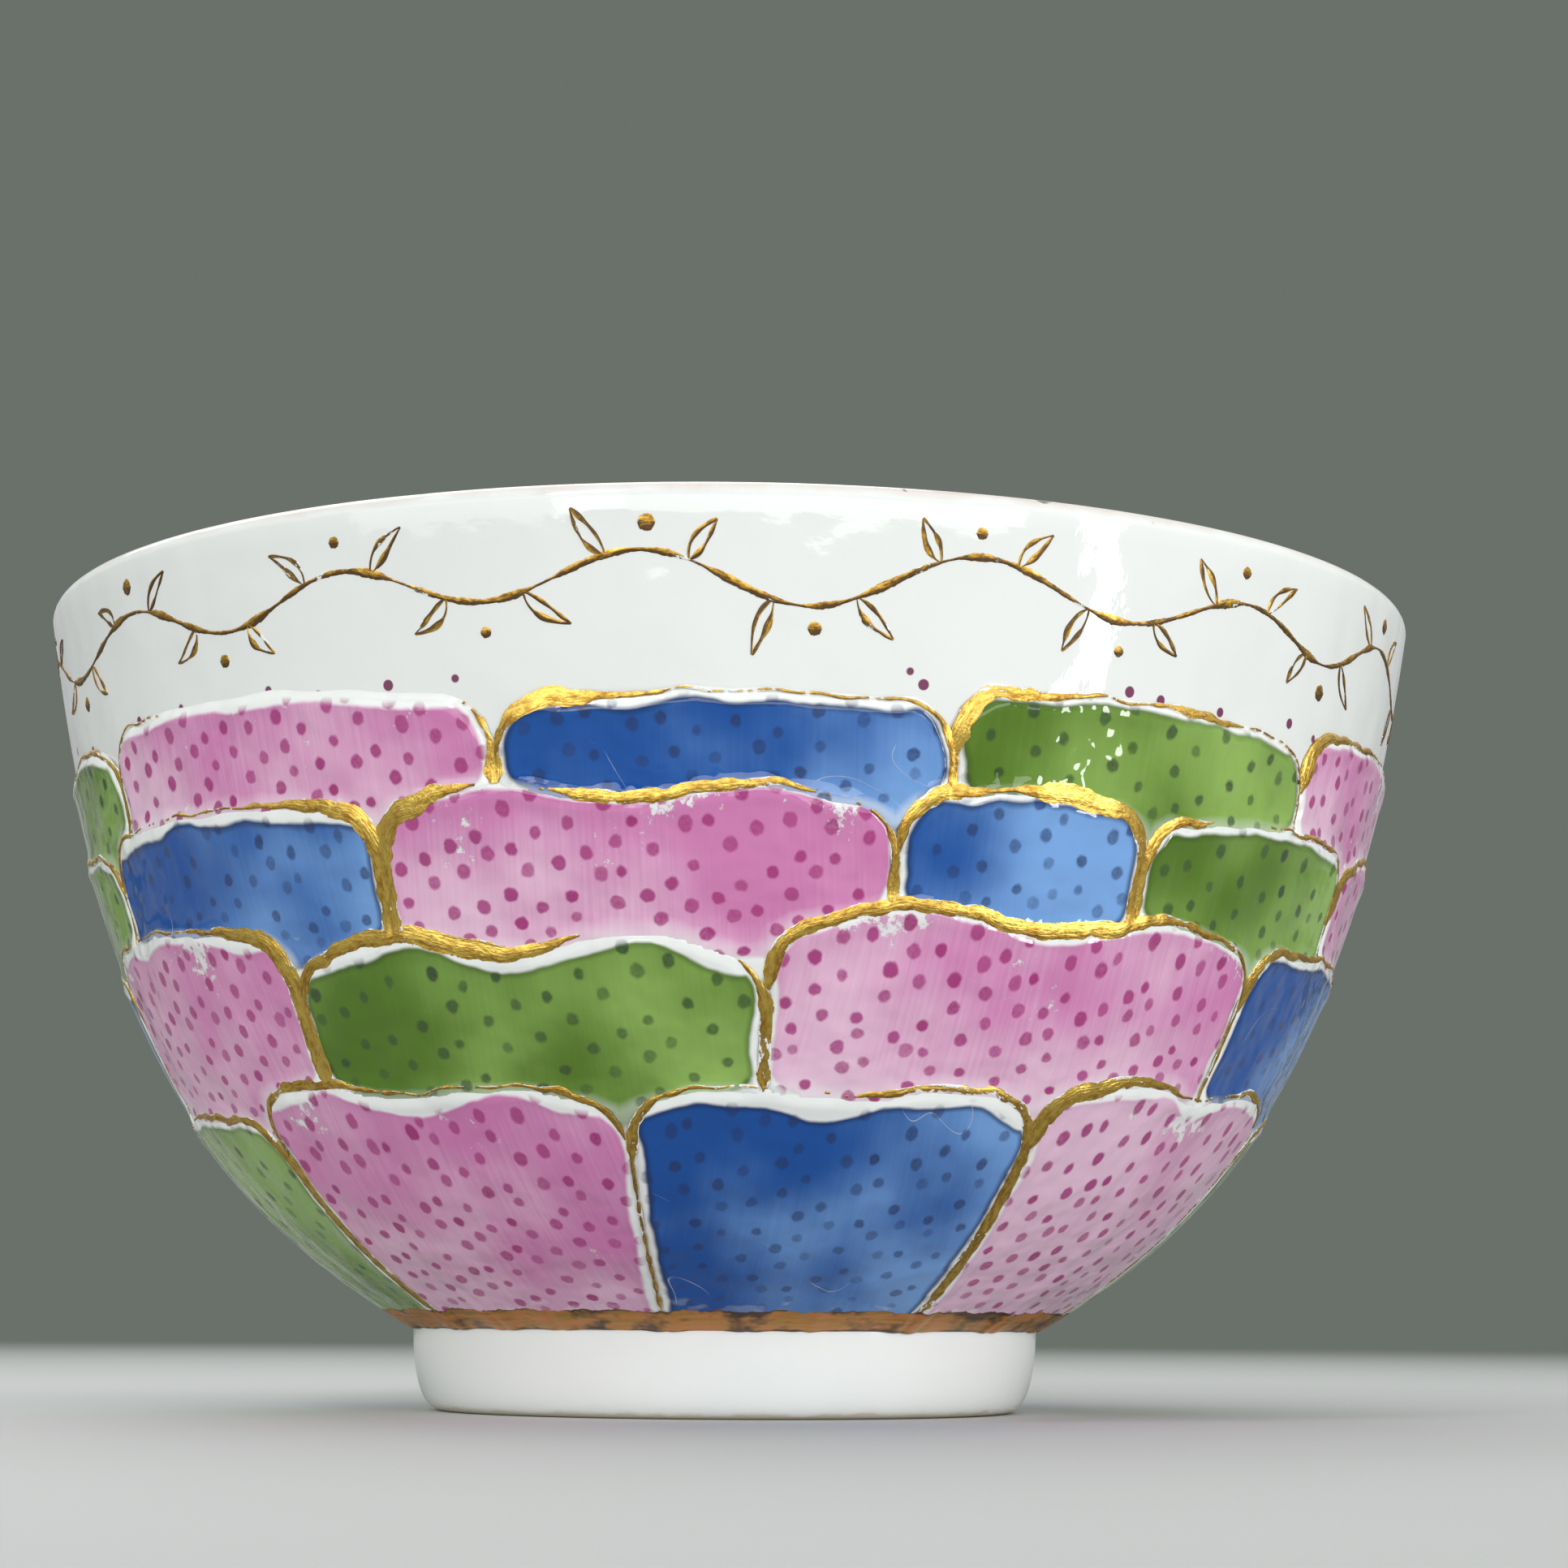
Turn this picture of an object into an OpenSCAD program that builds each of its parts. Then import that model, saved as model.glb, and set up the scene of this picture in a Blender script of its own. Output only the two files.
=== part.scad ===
// Small porcelain tea bowl with a relief of lapped, enamelled scales and gilt outlines.
// Millimetres, +Z up, with the origin on the axis at the underside of the foot.
// Angles go round the bowl from its front, which faces -Y, and grow towards +X.

/* [Bowl] */
// Diameter over the rim
rim_d = 76; // [72:0.5:84]
// Height from the table to the lip
bowl_h = 43.4; // [42:0.2:50]
// Wall thickness at the lip
lip_t = 1.6; // [1.2:0.1:2]
// Wall thickness low in the bowl
wall_t = 2.4; // [1.8:0.1:3]
// Thickness of the floor over the foot
floor_t = 2.8; // [2:0.1:4]
// Inner radius where the wall turns into the floor
floor_r = 21; // [18:0.5:24]
// Slope of the outer wall just above the foot, in degrees
flare_slope = 30; // [26:1:36]
// How strongly the wall holds that slope
flare_pull = 11; // [9:0.5:13]
// Slope of the outer wall just below the lip, in degrees
rim_slope = 81; // [78:1:86]
// How strongly the wall holds that slope
rim_pull = 25; // [22:0.5:28]

/* [Foot] */
// Diameter of the foot where it meets the wall
foot_d = 34.4; // [30:0.2:38]
// Height of the foot
foot_h = 4.6; // [3.6:0.2:5.6]
// Width of the foot ring where it meets the wall
foot_ring_w = 4.4; // [3.6:0.2:5.4]
// How far the outer side of the foot leans in
foot_lean = 0.9; // [0.4:0.1:1.2]
// Rounding of the outer lower edge of the foot
foot_round = 1.2; // [0.8:0.1:1.5]
// Rounding of the inner lower edge of the foot
foot_inner_round = 0.6; // [0.3:0.1:0.8]

/* [Scales] */
// Height of the plain band between the lip and the top course
rim_band_h = 9.5; // [8.9:0.1:10.9]
// Height of the top course, from its upper edge to that of the next
top_course_h = 4.6; // [4:0.1:5.2]
// Height of the upper course, from its upper edge to that of the next
upper_course_h = 5.7; // [5:0.1:6.4]
// Height of the lower course, from its upper edge to that of the base petals
lower_course_h = 7.6; // [6.8:0.1:8.4]
// How far the top course stands out at its upper edge
top_relief = 0.3; // [0.2:0.05:0.6]
// How far the upper course stands out at its upper edge
upper_relief = 0.45; // [0.2:0.05:0.65]
// How far the lower course stands out at its upper edge
lower_relief = 0.5; // [0.2:0.05:0.7]
// How far the base petals stand out at their upper edge
base_relief = 0.6; // [0.2:0.05:0.7]
// How far every scale stands out at its lower end
low_relief = 0.15; // [0.1:0.01:0.18]
// Radius of the upper corners of a scale
corner_r = 2.2; // [1.2:0.1:2.6]
// Depth of the dips along the upper edge of a scale
lobe_depth = 0.5; // [0.2:0.1:0.9]
// Step in which the upper edges of the scales rise and fall
lift_step = 0.1; // [0.05:0.01:0.12]
// Width of the channel between two scales of a course
scale_gap = 0.8; // [0.4:0.1:0.8]

/* [Gilding] */
// Width of the gilt line along the upper edge of a scale
gilt_w = 0.8; // [0.7:0.1:1.2]
// Thickness of the gilding
gilt_t = 0.1; // [0.06:0.01:0.14]
// Height of the gilt line round the top of the foot
foot_line_h = 1; // [0.6:0.1:1.4]
// How far the middle of the gilt vine lies under the lip
vine_drop = 4.4; // [4:0.1:4.9]
// How far the vine's stem swings to each side
vine_swing = 1.1; // [0.6:0.1:1.5]
// Width of the vine's stem
stem_w = 0.5; // [0.4:0.05:0.7]
// Length of a leaf
leaf_len = 2.5; // [1.8:0.1:2.8]
// Width of a leaf
leaf_w = 0.9; // [0.6:0.1:1.2]
// Lean of a leaf away from upright, in degrees
leaf_tilt = 35; // [25:1:50]
// How far a leaf stands from the crest of its wave, as a share of a quarter wave
leaf_spread = 0.5; // [0.3:0.05:0.7]
// Diameter of a berry
berry_d = 0.9; // [0.6:0.1:1.2]
// Number of waves of the vine round the rim
vine_waves = 15; // [12:1:18]

/* [Hidden] */
$fn = 144;
PORCELAIN = "#E9ECEA";
GOLD = "#B98A2F";
ENAMEL = [["pink", "#D493C2"], ["blue", "#3D6DBB"], ["green", "#6F9A43"]];

rim_r = rim_d / 2;
foot_r = foot_d / 2;
lip_r = lip_t / 2;
foot_line_z = foot_h + foot_line_h;
vine_z = bowl_h - vine_drop;
top_course_z = bowl_h - rim_band_h;
upper_course_z = top_course_z - top_course_h;
lower_course_z = upper_course_z - upper_course_h;
base_course_z = lower_course_z - lower_course_h;
wall_steps = 24;
floor_steps = 10;
corner_step = 18;
lobe_steps = 8;
leaf_steps = 6;
level_merge = 0.05;
vine_overrun = 1;
cut_clear = 1;
gilt_overlap = 0.3;

// Outer wall as one curve from the foot to the lip
wall_curve = [
    [foot_r, foot_h],
    [foot_r, foot_h] + flare_pull * [cos(flare_slope), sin(flare_slope)],
    [rim_r, bowl_h - lip_r] - rim_pull * [cos(rim_slope), sin(rim_slope)],
    [rim_r, bowl_h - lip_r]
];

function curve_at(c, t) =
    pow(1 - t, 3) * c[0] + 3 * t * pow(1 - t, 2) * c[1] + 3 * t * t * (1 - t) * c[2] + pow(t, 3) * c[3];
function curve_way(c, t) =
    pow(1 - t, 2) * (c[1] - c[0]) + 2 * t * (1 - t) * (c[2] - c[1]) + t * t * (c[3] - c[2]);
function inward(t) = let (w = curve_way(wall_curve, t)) [-w[1], w[0]] / norm(w);
function thickness_at(t) = wall_t + (lip_t - wall_t) * t;

outer_wall = [for (i = [0:wall_steps]) curve_at(wall_curve, i / wall_steps)];
wall_table = [for (p = outer_wall) [p[1], p[0]]];
function wall_r(z) = lookup(z, wall_table);

// Inner wall, kept at the wall's thickness down to where the floor begins
inner_wall = [
    for (i = [wall_steps - 1:-1:0])
        let (t = i / wall_steps, p = outer_wall[i] + thickness_at(t) * inward(t))
        if (p[0] > floor_r) p
];
floor_edge = inner_wall[len(inner_wall) - 1];
floor_before = inner_wall[len(inner_wall) - 2];
floor_z = foot_h + floor_t;
floor_rise = floor_edge[1] - floor_z;
floor_edge_slope = (floor_before[1] - floor_edge[1]) / (floor_before[0] - floor_edge[0]);
floor_power = max(2, floor_edge_slope * floor_edge[0] / floor_rise);
inner_floor = [
    for (i = [1:floor_steps])
        let (s = 1 - i / floor_steps)
        [floor_edge[0] * s, floor_z + floor_rise * pow(s, floor_power)]
];
lip_arc = [for (a = [15:15:165]) [rim_r - lip_r + lip_r * cos(a), bowl_h - lip_r + lip_r * sin(a)]];

// Courses from the top down: node name, upper edge, relief, and the scales as
// [angle of the left edge, colour, steps that the upper edge is lifted, lobes along it]
COURSES = [
    ["top_scale", top_course_z, top_relief, [
        [-60, "pink", 5, 1], [-18, "blue", -4, 1], [17, "green", 2, 1], [53.5, "pink", 5, 1],
        [90, "blue", 0, 2], [127, "green", -3, 1], [160, "pink", 3, 2], [199, "blue", -2, 1],
        [232, "pink", 2, 1], [264, "green", 0, 2]]],
    ["upper_scale", upper_course_z, upper_relief, [
        [-65, "blue", 2, 1], [-28.5, "pink", 1, 2], [13, "blue", 2, 1], [35, "green", 1, 1],
        [66, "pink", 2, 2], [103, "blue", -1, 1], [140, "green", 1, 2], [176, "pink", -2, 1],
        [214, "blue", 2, 2], [256, "green", 0, 1]]],
    ["lower_scale", lower_course_z, lower_relief, [
        [-75, "pink", 6, 1], [-40.5, "green", -6, 2], [3.3, "pink", 6, 2], [52.5, "blue", 2, 1],
        [90, "green", -2, 2], [131, "pink", 3, 2], [172, "blue", 0, 1], [208, "green", 2, 2],
        [247, "blue", -2, 1]]],
    ["base_petal", base_course_z, base_relief, [
        [-53, "pink", 2, 2], [-9.5, "blue", 0, 2], [31.5, "pink", 6, 2], [74, "green", 2, 1],
        [114, "blue", 0, 2], [153, "pink", 3, 2], [192, "green", -2, 1], [230, "blue", 2, 2],
        [268, "green", -6, 1]]]
];
GILT_NAMES = ["gilding_top", "gilding_upper", "gilding_lower", "gilding_base"];
lift_spread = lift_step * max([for (course = COURSES) for (scale = course[3]) abs(scale[2])]);
lap = corner_r + lobe_depth + lift_spread;
last_course = len(COURSES) - 1;

function scales(k) = COURSES[k][3];
function scale_count(k) = len(scales(k));
function left_edge(k, i) = scales(k)[i][0];
function right_edge(k, i) = i + 1 < scale_count(k) ? left_edge(k, i + 1) : left_edge(k, 0) + 360;
function middle(k, i) = (left_edge(k, i) + right_edge(k, i)) / 2;
function half_width(k, i) = (right_edge(k, i) - left_edge(k, i)) / 2;
function upper_z(k, i) = COURSES[k][1] + lift_step * scales(k)[i][2];
function lower_z(k) = k == last_course ? foot_line_z : COURSES[k + 1][1] - lap;
function apart(a, b) = abs((((a - b) % 360) + 540) % 360 - 180);
function enamel(name) = ENAMEL[search([name], ENAMEL)[0]][1];
function scale_node(k, i) = str(COURSES[k][0], "_", i + 1);

// Heights from low to high, with the wall's own corners between them
function levels(low, high) = concat(
    [low],
    [for (p = outer_wall) if (p[1] > low + level_merge && p[1] < high - level_merge) p[1]],
    [high]);

// Heights from low to high for a cut's sides, kept clear of the wall's own corners
function cut_levels(low, high) = concat(
    [low],
    [for (i = [1:wall_steps])
        let (z = (outer_wall[i - 1][1] + outer_wall[i][1]) / 2)
        if (z > low + level_merge && z < high - level_merge) z],
    [high]);

// Section of a layer on the outer wall, from one thickness at its low end to another at its high end
function layer(low, high, t_low, t_high) = let (zs = levels(low, high)) concat(
    [for (z = zs) [wall_r(z), z]],
    [for (i = [len(zs) - 1:-1:0])
        let (z = zs[i])
        [wall_r(z) + t_low + (t_high - t_low) * (z - low) / (high - low), z]]);

function flipped(points) = [for (i = [len(points) - 1:-1:0]) [-points[i][0], points[i][1]]];

// Outline of a scale as seen straight on, with its upper edge in lobes
function outline(k, i, grow = 0) =
    let (
        high = upper_z(k, i),
        shoulder = high - lobe_depth - corner_r,
        spread = sin(half_width(k, i)),
        lobes = scales(k)[i][3],
        corner_x = wall_r(shoulder) * spread - scale_gap / 2 - corner_r,
        side = concat(
            [for (z = cut_levels(lower_z(k) - cut_clear, shoulder))
                [wall_r(z) * spread - scale_gap / 2 + grow, z]],
            [for (a = [corner_step:corner_step:90 - corner_step])
                [corner_x + (corner_r + grow) * cos(a), shoulder + (corner_r + grow) * sin(a)]]),
        crown = [for (j = [0:lobes * lobe_steps])
            let (u = j / (lobes * lobe_steps))
            [corner_x * (1 - 2 * u), high + grow - lobe_depth * (1 + cos(360 * lobes * u)) / 2]])
    concat(side, crown, flipped(side));

// A flat shape carried straight out from the axis at an angle
module outward(angle)
    rotate([0, 0, angle - 90]) rotate([90, 0, 90]) linear_extrude(height = rim_d) children();

// A section turned about the axis from one angle to another
module turned(left, right, section)
    rotate_extrude(angle = right - left, start = left - 90) polygon(section);

// What the course below takes from a scale: its scales and the gilding over them
module course_below(k, i) {
    if (k < last_course)
        for (j = [0:scale_count(k + 1) - 1])
            if (apart(middle(k, i), middle(k + 1, j)) < half_width(k, i) + half_width(k + 1, j))
                outward(middle(k + 1, j)) polygon(outline(k + 1, j, gilt_w));
}

module bowl_wall()
    color(PORCELAIN)
    rotate_extrude() polygon(concat([[0, foot_h]], outer_wall, lip_arc, inner_wall, inner_floor));

module foot_ring() {
    side_r = foot_r - foot_lean;
    hole_r = foot_r - foot_ring_w;
    function rounding(middle_r, r, angles) = [for (a = angles) [middle_r + r * cos(a), r + r * sin(a)]];
    outer_edge = rounding(side_r - foot_round, foot_round, [0:-15:-90]);
    inner_edge = rounding(hole_r + foot_inner_round, foot_inner_round, [-90:-15:-180]);
    color(PORCELAIN)
    rotate_extrude() polygon(concat([[hole_r, foot_h], [foot_r, foot_h]], outer_edge, inner_edge));
}

module relief_scale(k, i) {
    low = lower_z(k);
    high = upper_z(k, i);
    growth = (COURSES[k][2] - low_relief) / (high - low);
    color(enamel(scales(k)[i][1]))
    difference() {
        intersection() {
            turned(left_edge(k, i), right_edge(k, i),
                layer(low, high + cut_clear, low_relief, COURSES[k][2] + growth * cut_clear));
            outward(middle(k, i)) polygon(outline(k, i));
        }
        course_below(k, i);
    }
}

module course_gilding(k)
    color(GOLD)
    for (i = [0:scale_count(k) - 1])
        difference() {
            intersection() {
                turned(left_edge(k, i) - gilt_overlap, right_edge(k, i) + gilt_overlap,
                    layer(lower_z(k), COURSES[k][1] + lift_spread + gilt_w + cut_clear, gilt_t, gilt_t));
                outward(middle(k, i)) polygon(outline(k, i, gilt_w));
            }
            outward(middle(k, i)) polygon(outline(k, i));
            course_below(k, i);
        }

module gilding_foot_line()
    color(GOLD)
    rotate_extrude() polygon(layer(foot_h, foot_line_z, gilt_t, gilt_t));

// Pointed leaf from its stalk, as an outline
module leaf(x, z, angle) {
    edge = [for (i = [0:leaf_steps]) let (s = i / leaf_steps) [leaf_len * s, leaf_w / 2 * sin(180 * s)]];
    back = [for (i = [leaf_steps - 1:-1:1]) [edge[i][0], -edge[i][1]]];
    translate([x, z]) rotate(angle) polygon(concat(edge, back));
}

// One wave of the rim's vine: its stem, two leaves and a berry on each side
module vine_wave() {
    wave = 360 / vine_waves;
    quarter = wave / 4;
    across = wall_r(vine_z);
    steps = [for (a = [-wave / 2 - vine_overrun:1:wave / 2 + vine_overrun]) a];
    function stem_z(a) = vine_z - vine_swing * sin(360 * a / wave);
    function stem(side) = [for (a = steps) [across * sin(a), stem_z(a) + side * stem_w / 2]];
    upper = stem(1);
    polygon(concat(stem(-1), [for (i = [len(upper) - 1:-1:0]) upper[i]]));
    for (s = [-1, 1]) {
        for (side = [-1, 1]) {
            a = -s * quarter + side * leaf_spread * quarter;
            leaf(across * sin(a), stem_z(a), s * (90 - side * leaf_tilt));
        }
        translate([across * sin(-s * quarter), vine_z + s * (vine_swing + berry_d + stem_w)])
            circle(d = berry_d);
    }
}

module gilding_rim_vine() {
    wave = 360 / vine_waves;
    reach = vine_swing + leaf_len;
    skin = layer(vine_z - reach, vine_z + reach, gilt_t, gilt_t);
    color(GOLD)
    for (n = [0:vine_waves - 1])
        intersection() {
            turned((n - 0.5) * wave, (n + 0.5) * wave, skin);
            outward(n * wave) vine_wave();
        }
}

bowl_wall();
foot_ring();
for (k = [0:last_course])
    for (i = [0:scale_count(k) - 1])
        relief_scale(k, i);
for (k = [0:last_course])
    course_gilding(k);
gilding_foot_line();
gilding_rim_vine();
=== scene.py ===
"""Dresses the tea bowl: glazed porcelain, enamelled scales in relief and worn gilding."""

import math
from collections import namedtuple

import bmesh
import bpy
import numpy as np
from bpy.props import FloatProperty, FloatVectorProperty, IntProperty, PointerProperty
from mathutils import Matrix, Vector


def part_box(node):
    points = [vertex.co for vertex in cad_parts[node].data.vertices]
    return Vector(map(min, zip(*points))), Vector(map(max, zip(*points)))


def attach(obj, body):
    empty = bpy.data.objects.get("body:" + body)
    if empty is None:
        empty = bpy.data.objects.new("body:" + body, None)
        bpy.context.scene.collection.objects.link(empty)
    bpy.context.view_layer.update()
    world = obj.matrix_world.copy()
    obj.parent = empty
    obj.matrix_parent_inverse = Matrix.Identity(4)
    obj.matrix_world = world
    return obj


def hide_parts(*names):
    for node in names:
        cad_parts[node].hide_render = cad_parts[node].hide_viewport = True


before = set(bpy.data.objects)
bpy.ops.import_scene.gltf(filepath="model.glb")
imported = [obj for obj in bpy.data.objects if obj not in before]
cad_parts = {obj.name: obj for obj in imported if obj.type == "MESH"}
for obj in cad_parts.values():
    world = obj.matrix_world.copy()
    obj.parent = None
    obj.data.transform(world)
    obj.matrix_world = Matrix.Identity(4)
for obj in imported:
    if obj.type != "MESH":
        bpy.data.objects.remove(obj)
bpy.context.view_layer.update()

bl_info = {
    "name": "Tea bowl",
    "version": (1, 0, 0),
    "blender": (4, 5, 0),
    "location": "View3D > Sidebar > Tea bowl",
    "description": "Builds a porcelain tea bowl with enamelled scales and gilding over its frame",
    "category": "Object",
}

MM = 0.001
WALL_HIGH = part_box("bowl_wall")[1]
FOOT_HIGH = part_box("foot_ring")[1]
FOOT_LINE_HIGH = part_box("gilding_foot_line")[1]

# Courses from the top down: node, gilding node, upper edge, relief, and the scales as (left edge in degrees,
# enamel, lift of the upper edge, lobes, dip between lobes, tilt, white margin, strength of the wash, load of
# gold), with lengths in mm
# The wash strengths also hold painted light and shade: paler on front scales where light falls on the right,
# deeper on the lowest pink left of the front
COURSES = (
    ("top_scale", "gilding_top", 33.9, 0.34, (
        (-60, "pink", 0.6, 1, 0.5, -0.45, 0.2, 0.0, "bare"),
        (-18, "blue", -0.35, 1, 0.3, 0.05, 0.14, 0.05, "left"),
        (17, "green", 0.2, 1, 0.4, -0.3, 0.05, -0.15, "spots"),
        (53.5, "pink", 0.7, 1, 0.5, -0.35, 0.1, 0.0, "lined"),
        (90, "blue", 0.0, 2, 0.5, 0.2, 0.1, 0.1, "left"),
        (127, "green", -0.2, 1, 0.4, 0.1, 0.2, 0.0, "swept"),
        (160, "pink", 0.3, 2, 0.5, -0.2, 0.1, 0.1, "spots"),
        (199, "blue", -0.2, 1, 0.4, 0.1, 0.15, -0.1, "middle"),
        (232, "pink", 0.2, 1, 0.5, 0.2, 0.1, 0.0, "bare"),
        (264, "green", 0.1, 2, 0.5, -0.1, 0.2, 0.1, "lined"))),
    ("upper_scale", "gilding_upper", 29.3, 0.46, (
        (-65, "blue", 0.2, 1, 0.4, -0.1, 0.35, 0.0, "right"),
        (-28.5, "pink", 0.2, 2, 0.75, -0.1, 0.0, 0.1, "middle"),
        (13, "blue", 0.3, 1, 0.4, -0.05, 0.15, -0.58, "ring"),
        (35, "green", 0.1, 1, 0.4, 0.1, 0.2, 0.0, "corner"),
        (66, "pink", 0.2, 2, 0.6, 0.1, 0.1, 0.05, "lined"),
        (103, "blue", -0.1, 1, 0.4, 0.2, 0.3, 0.0, "left"),
        (140, "green", 0.1, 2, 0.6, -0.2, 0.2, 0.1, "middle"),
        (176, "pink", -0.2, 1, 0.4, 0.1, 0.1, 0.0, "right"),
        (214, "blue", 0.2, 2, 0.5, 0.1, 0.3, -0.2, "ring"),
        (256, "green", 0.0, 1, 0.5, -0.2, 0.2, 0.05, "corner"))),
    ("lower_scale", "gilding_lower", 23.6, 0.52, (
        (-75, "pink", 0.6, 1, 0.5, -0.3, 0.4, 0.0, "right"),
        (-40.5, "green", -0.7, 2, 0.95, -0.05, 0.4, 0.05, "swept"),
        (3.3, "pink", 0.6, 2, 0.9, 0.05, 0.15, -0.05, "brushed"),
        (52.5, "blue", 0.2, 1, 0.5, -0.3, 0.2, 0.0, "lined"),
        (90, "green", -0.2, 2, 0.8, 0.1, 0.4, 0.0, "ring"),
        (131, "pink", 0.3, 2, 0.8, -0.1, 0.1, 0.1, "left"),
        (172, "blue", 0.0, 1, 0.5, 0.2, 0.3, -0.1, "swept"),
        (208, "green", 0.2, 2, 0.8, 0.1, 0.4, 0.0, "middle"),
        (247, "blue", -0.2, 1, 0.5, -0.1, 0.3, 0.0, "brushed"))),
    ("base_petal", "gilding_base", 16.0, 0.6, (
        (-53, "pink", 0.2, 2, 0.5, -0.35, 0.45, 0.1, "hair"),
        (-9.5, "blue", 0.0, 2, 0.45, 0.05, 0.6, 0.0, "knot"),
        (31.5, "pink", 0.7, 2, 0.5, 0.0, 0.35, -0.42, "bright"),
        (74, "green", 0.2, 1, 0.5, 0.1, 0.3, 0.0, "hair"),
        (114, "blue", 0.0, 2, 0.5, 0.1, 0.5, 0.1, "swept"),
        (153, "pink", 0.3, 2, 0.5, -0.2, 0.4, 0.0, "knot"),
        (192, "green", -0.2, 1, 0.5, 0.1, 0.3, 0.0, "brushed"),
        (230, "blue", 0.2, 2, 0.5, -0.1, 0.5, -0.1, "hair"),
        (268, "green", -0.6, 1, 0.5, 0.0, 0.2, 0.0, "knot"))),
)

# Share of a full stroke of gold at the left side and the left corner, at four places along the upper edge, at
# the right corner and at both ends of the channel on the right; nothing is laid where it is about 0 or less
GILT_LOADS = {
    "bare": (0.5, 0.2, -0.3, -0.3, -0.3, -0.3, -0.3, 0.5, 1.5),
    "left": (0.1, 1.3, 0.3, 0.16, 0.12, 0.12, 0.14, 0.5, 0.6),
    "spots": (1.1, 0.85, 0.2, 0.1, 0.65, 0.1, 0.05, 0.25, 0.3),
    "lined": (1.2, 0.6, 0.4, 0.35, 0.3, 0.3, 0.3, 0.4, 0.4),
    "bright": (1.1, 1.15, 0.6, 0.2, -0.1, 0.6, 0.4, 0.3, 0.4),
    "right": (0.3, 0.3, -0.1, 0.2, 0.12, 0.4, 1.0, 1.25, 1.3),
    "middle": (1.5, 1.25, -0.6, 0.8, 0.75, 0.6, -0.15, 0.5, 0.8),
    "ring": (0.4, 1.1, 0.15, 0.45, 1.25, 1.35, 1.0, 0.9, 1.15),
    "corner": (0.9, 0.6, -0.4, -0.2, 0.25, 0.4, 0.3, 0.3, 0.3),
    "swept": (0.9, 0.8, 1.05, 1.25, 0.6, -0.6, -0.3, 0.8, 0.7),
    "brushed": (0.9, 0.8, 0.8, 0.9, 1.1, 0.5, 0.35, 0.3, 0.1),
    "hair": (0.4, 0.6, 0.65, 0.2, 0.12, 0.12, 0.5, 0.2, 0.25),
    "knot": (0.9, 0.25, 0.12, -0.2, 0.45, 0.5, 0.5, 0.85, 0.7),
}

# How each enamel is laid: strength of its wash, how much that grows upwards and to the right, strength of the
# brush marks and of the pooled edge, height over which it fades at its foot in mm and the share left there,
# distance between dots and their radius in mm, strength of a faint dot, and whether it is flaked or scratched
Wash = namedtuple("Wash", "depth rise lean marks pooled fade left spacing dot faint flaked scratched")
WASHES = {
    "pink": Wash(-0.85, 0.45, 0.16, 0.4, 0.1, 1.2, 0.3, 1.5, 0.32, 0.5, True, False),
    "blue": Wash(-0.45, 0.28, -0.5, 0.12, 0.85, 0.35, 0.6, 1.6, 0.29, 0.15, False, True),
    "green": Wash(-0.6, 0.2, -0.2, 0.14, 0.5, 0.5, 0.65, 1.78, 0.29, 0.25, False, False),
}

# How each gold is laid: its wear, how far painted shade darkens one side of each stroke, and how much its
# edges are flecked
Gold = namedtuple("Gold", "wear lean flecked")
GOLDS = {
    "fired_gold": Gold(0.03, 0.1, 0.22),
    "pen_gold": Gold(0.5, 0.4, 0.1),
}

# The wall and the foot, in mm
FLARE_SLOPE = math.radians(30)  # slope and pull of the wall's curve at the foot
FLARE_PULL = 11.0
RIM_SLOPE = math.radians(81)  # and at the rim
RIM_PULL = 25.0
WALL_SAMPLES = 500
WALL_ROWS = 90
WALL_STEPS = 256
FLOOR_RADIUS = 21.0  # where the inside of the wall runs out into the floor
FLOOR_THICKNESS = 2.8
FOOT_TURN = 2.3  # how far the outside of the foot turns in
FOOT_FULLNESS = 0.55
FOOT_EDGE = 0.6  # radius of its inner edge
FOOT_STEPS = 192
CALM_RADIUS = 10.0  # within this the wobble of the wall fades out
WELD = 0.002  # points closer than this are made one

# The scales, in mm
LAP = 3.3  # lower end of a scale, below the upper edge of the next course
LOW_RELIEF = 0.15  # relief at the lower end
EDGE_OUT = 0.34  # the relief rises from this far outside the outline
EDGE_IN = 0.42  # to this far inside it
BEAD = 0.07  # bead of glaze inside the edge
BEAD_WIDTH = 0.4
POOL = 0.22  # glaze that pools along each outline
POOL_WIDTH = 0.62
FILLET = 0.3  # how softly a course runs into the one that it laps
SKIRT = 0.5  # how far the mesh of a scale goes past its outline
UNDERLAP = 0.4  # and past its lower end
SINK = 0.16  # how deep it dips there, and under the next course
SINK_WIDTH = 0.35
CHANNEL_LAP = 0.3  # how far a course closes over its own channels
UNCOVERED = -5.0  # distance to the next course where there is none
BACK = 0.35  # depth of the back of a scale in the wall
SCALE_GRID = (80, 48)  # columns and rows of its mesh
SIDE_CROWDING = 1.5  # how much they crowd towards the sides and the top
TOP_CROWDING = 1.35

# The paint, in mm
LOW_CORNER = 1.3  # radius of the lower corners of a painted field
NOTCH = 1.7  # how far the field may reach below the upper edge of the next course
PATTERN_STEP = 37.0  # shift of the pattern from scale to scale
BASE_STIPPLE = (1.05, 0.88)  # stretch of the stipple on the lowest course
STRAY_SPACING = 1.5  # stray dots of the stipple, over the top course
STRAY_Z = 34.6
STRAY_BAND = 0.4
STRAY_DEPTH = 2.4  # how far inside the rim's radius they may lie

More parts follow.
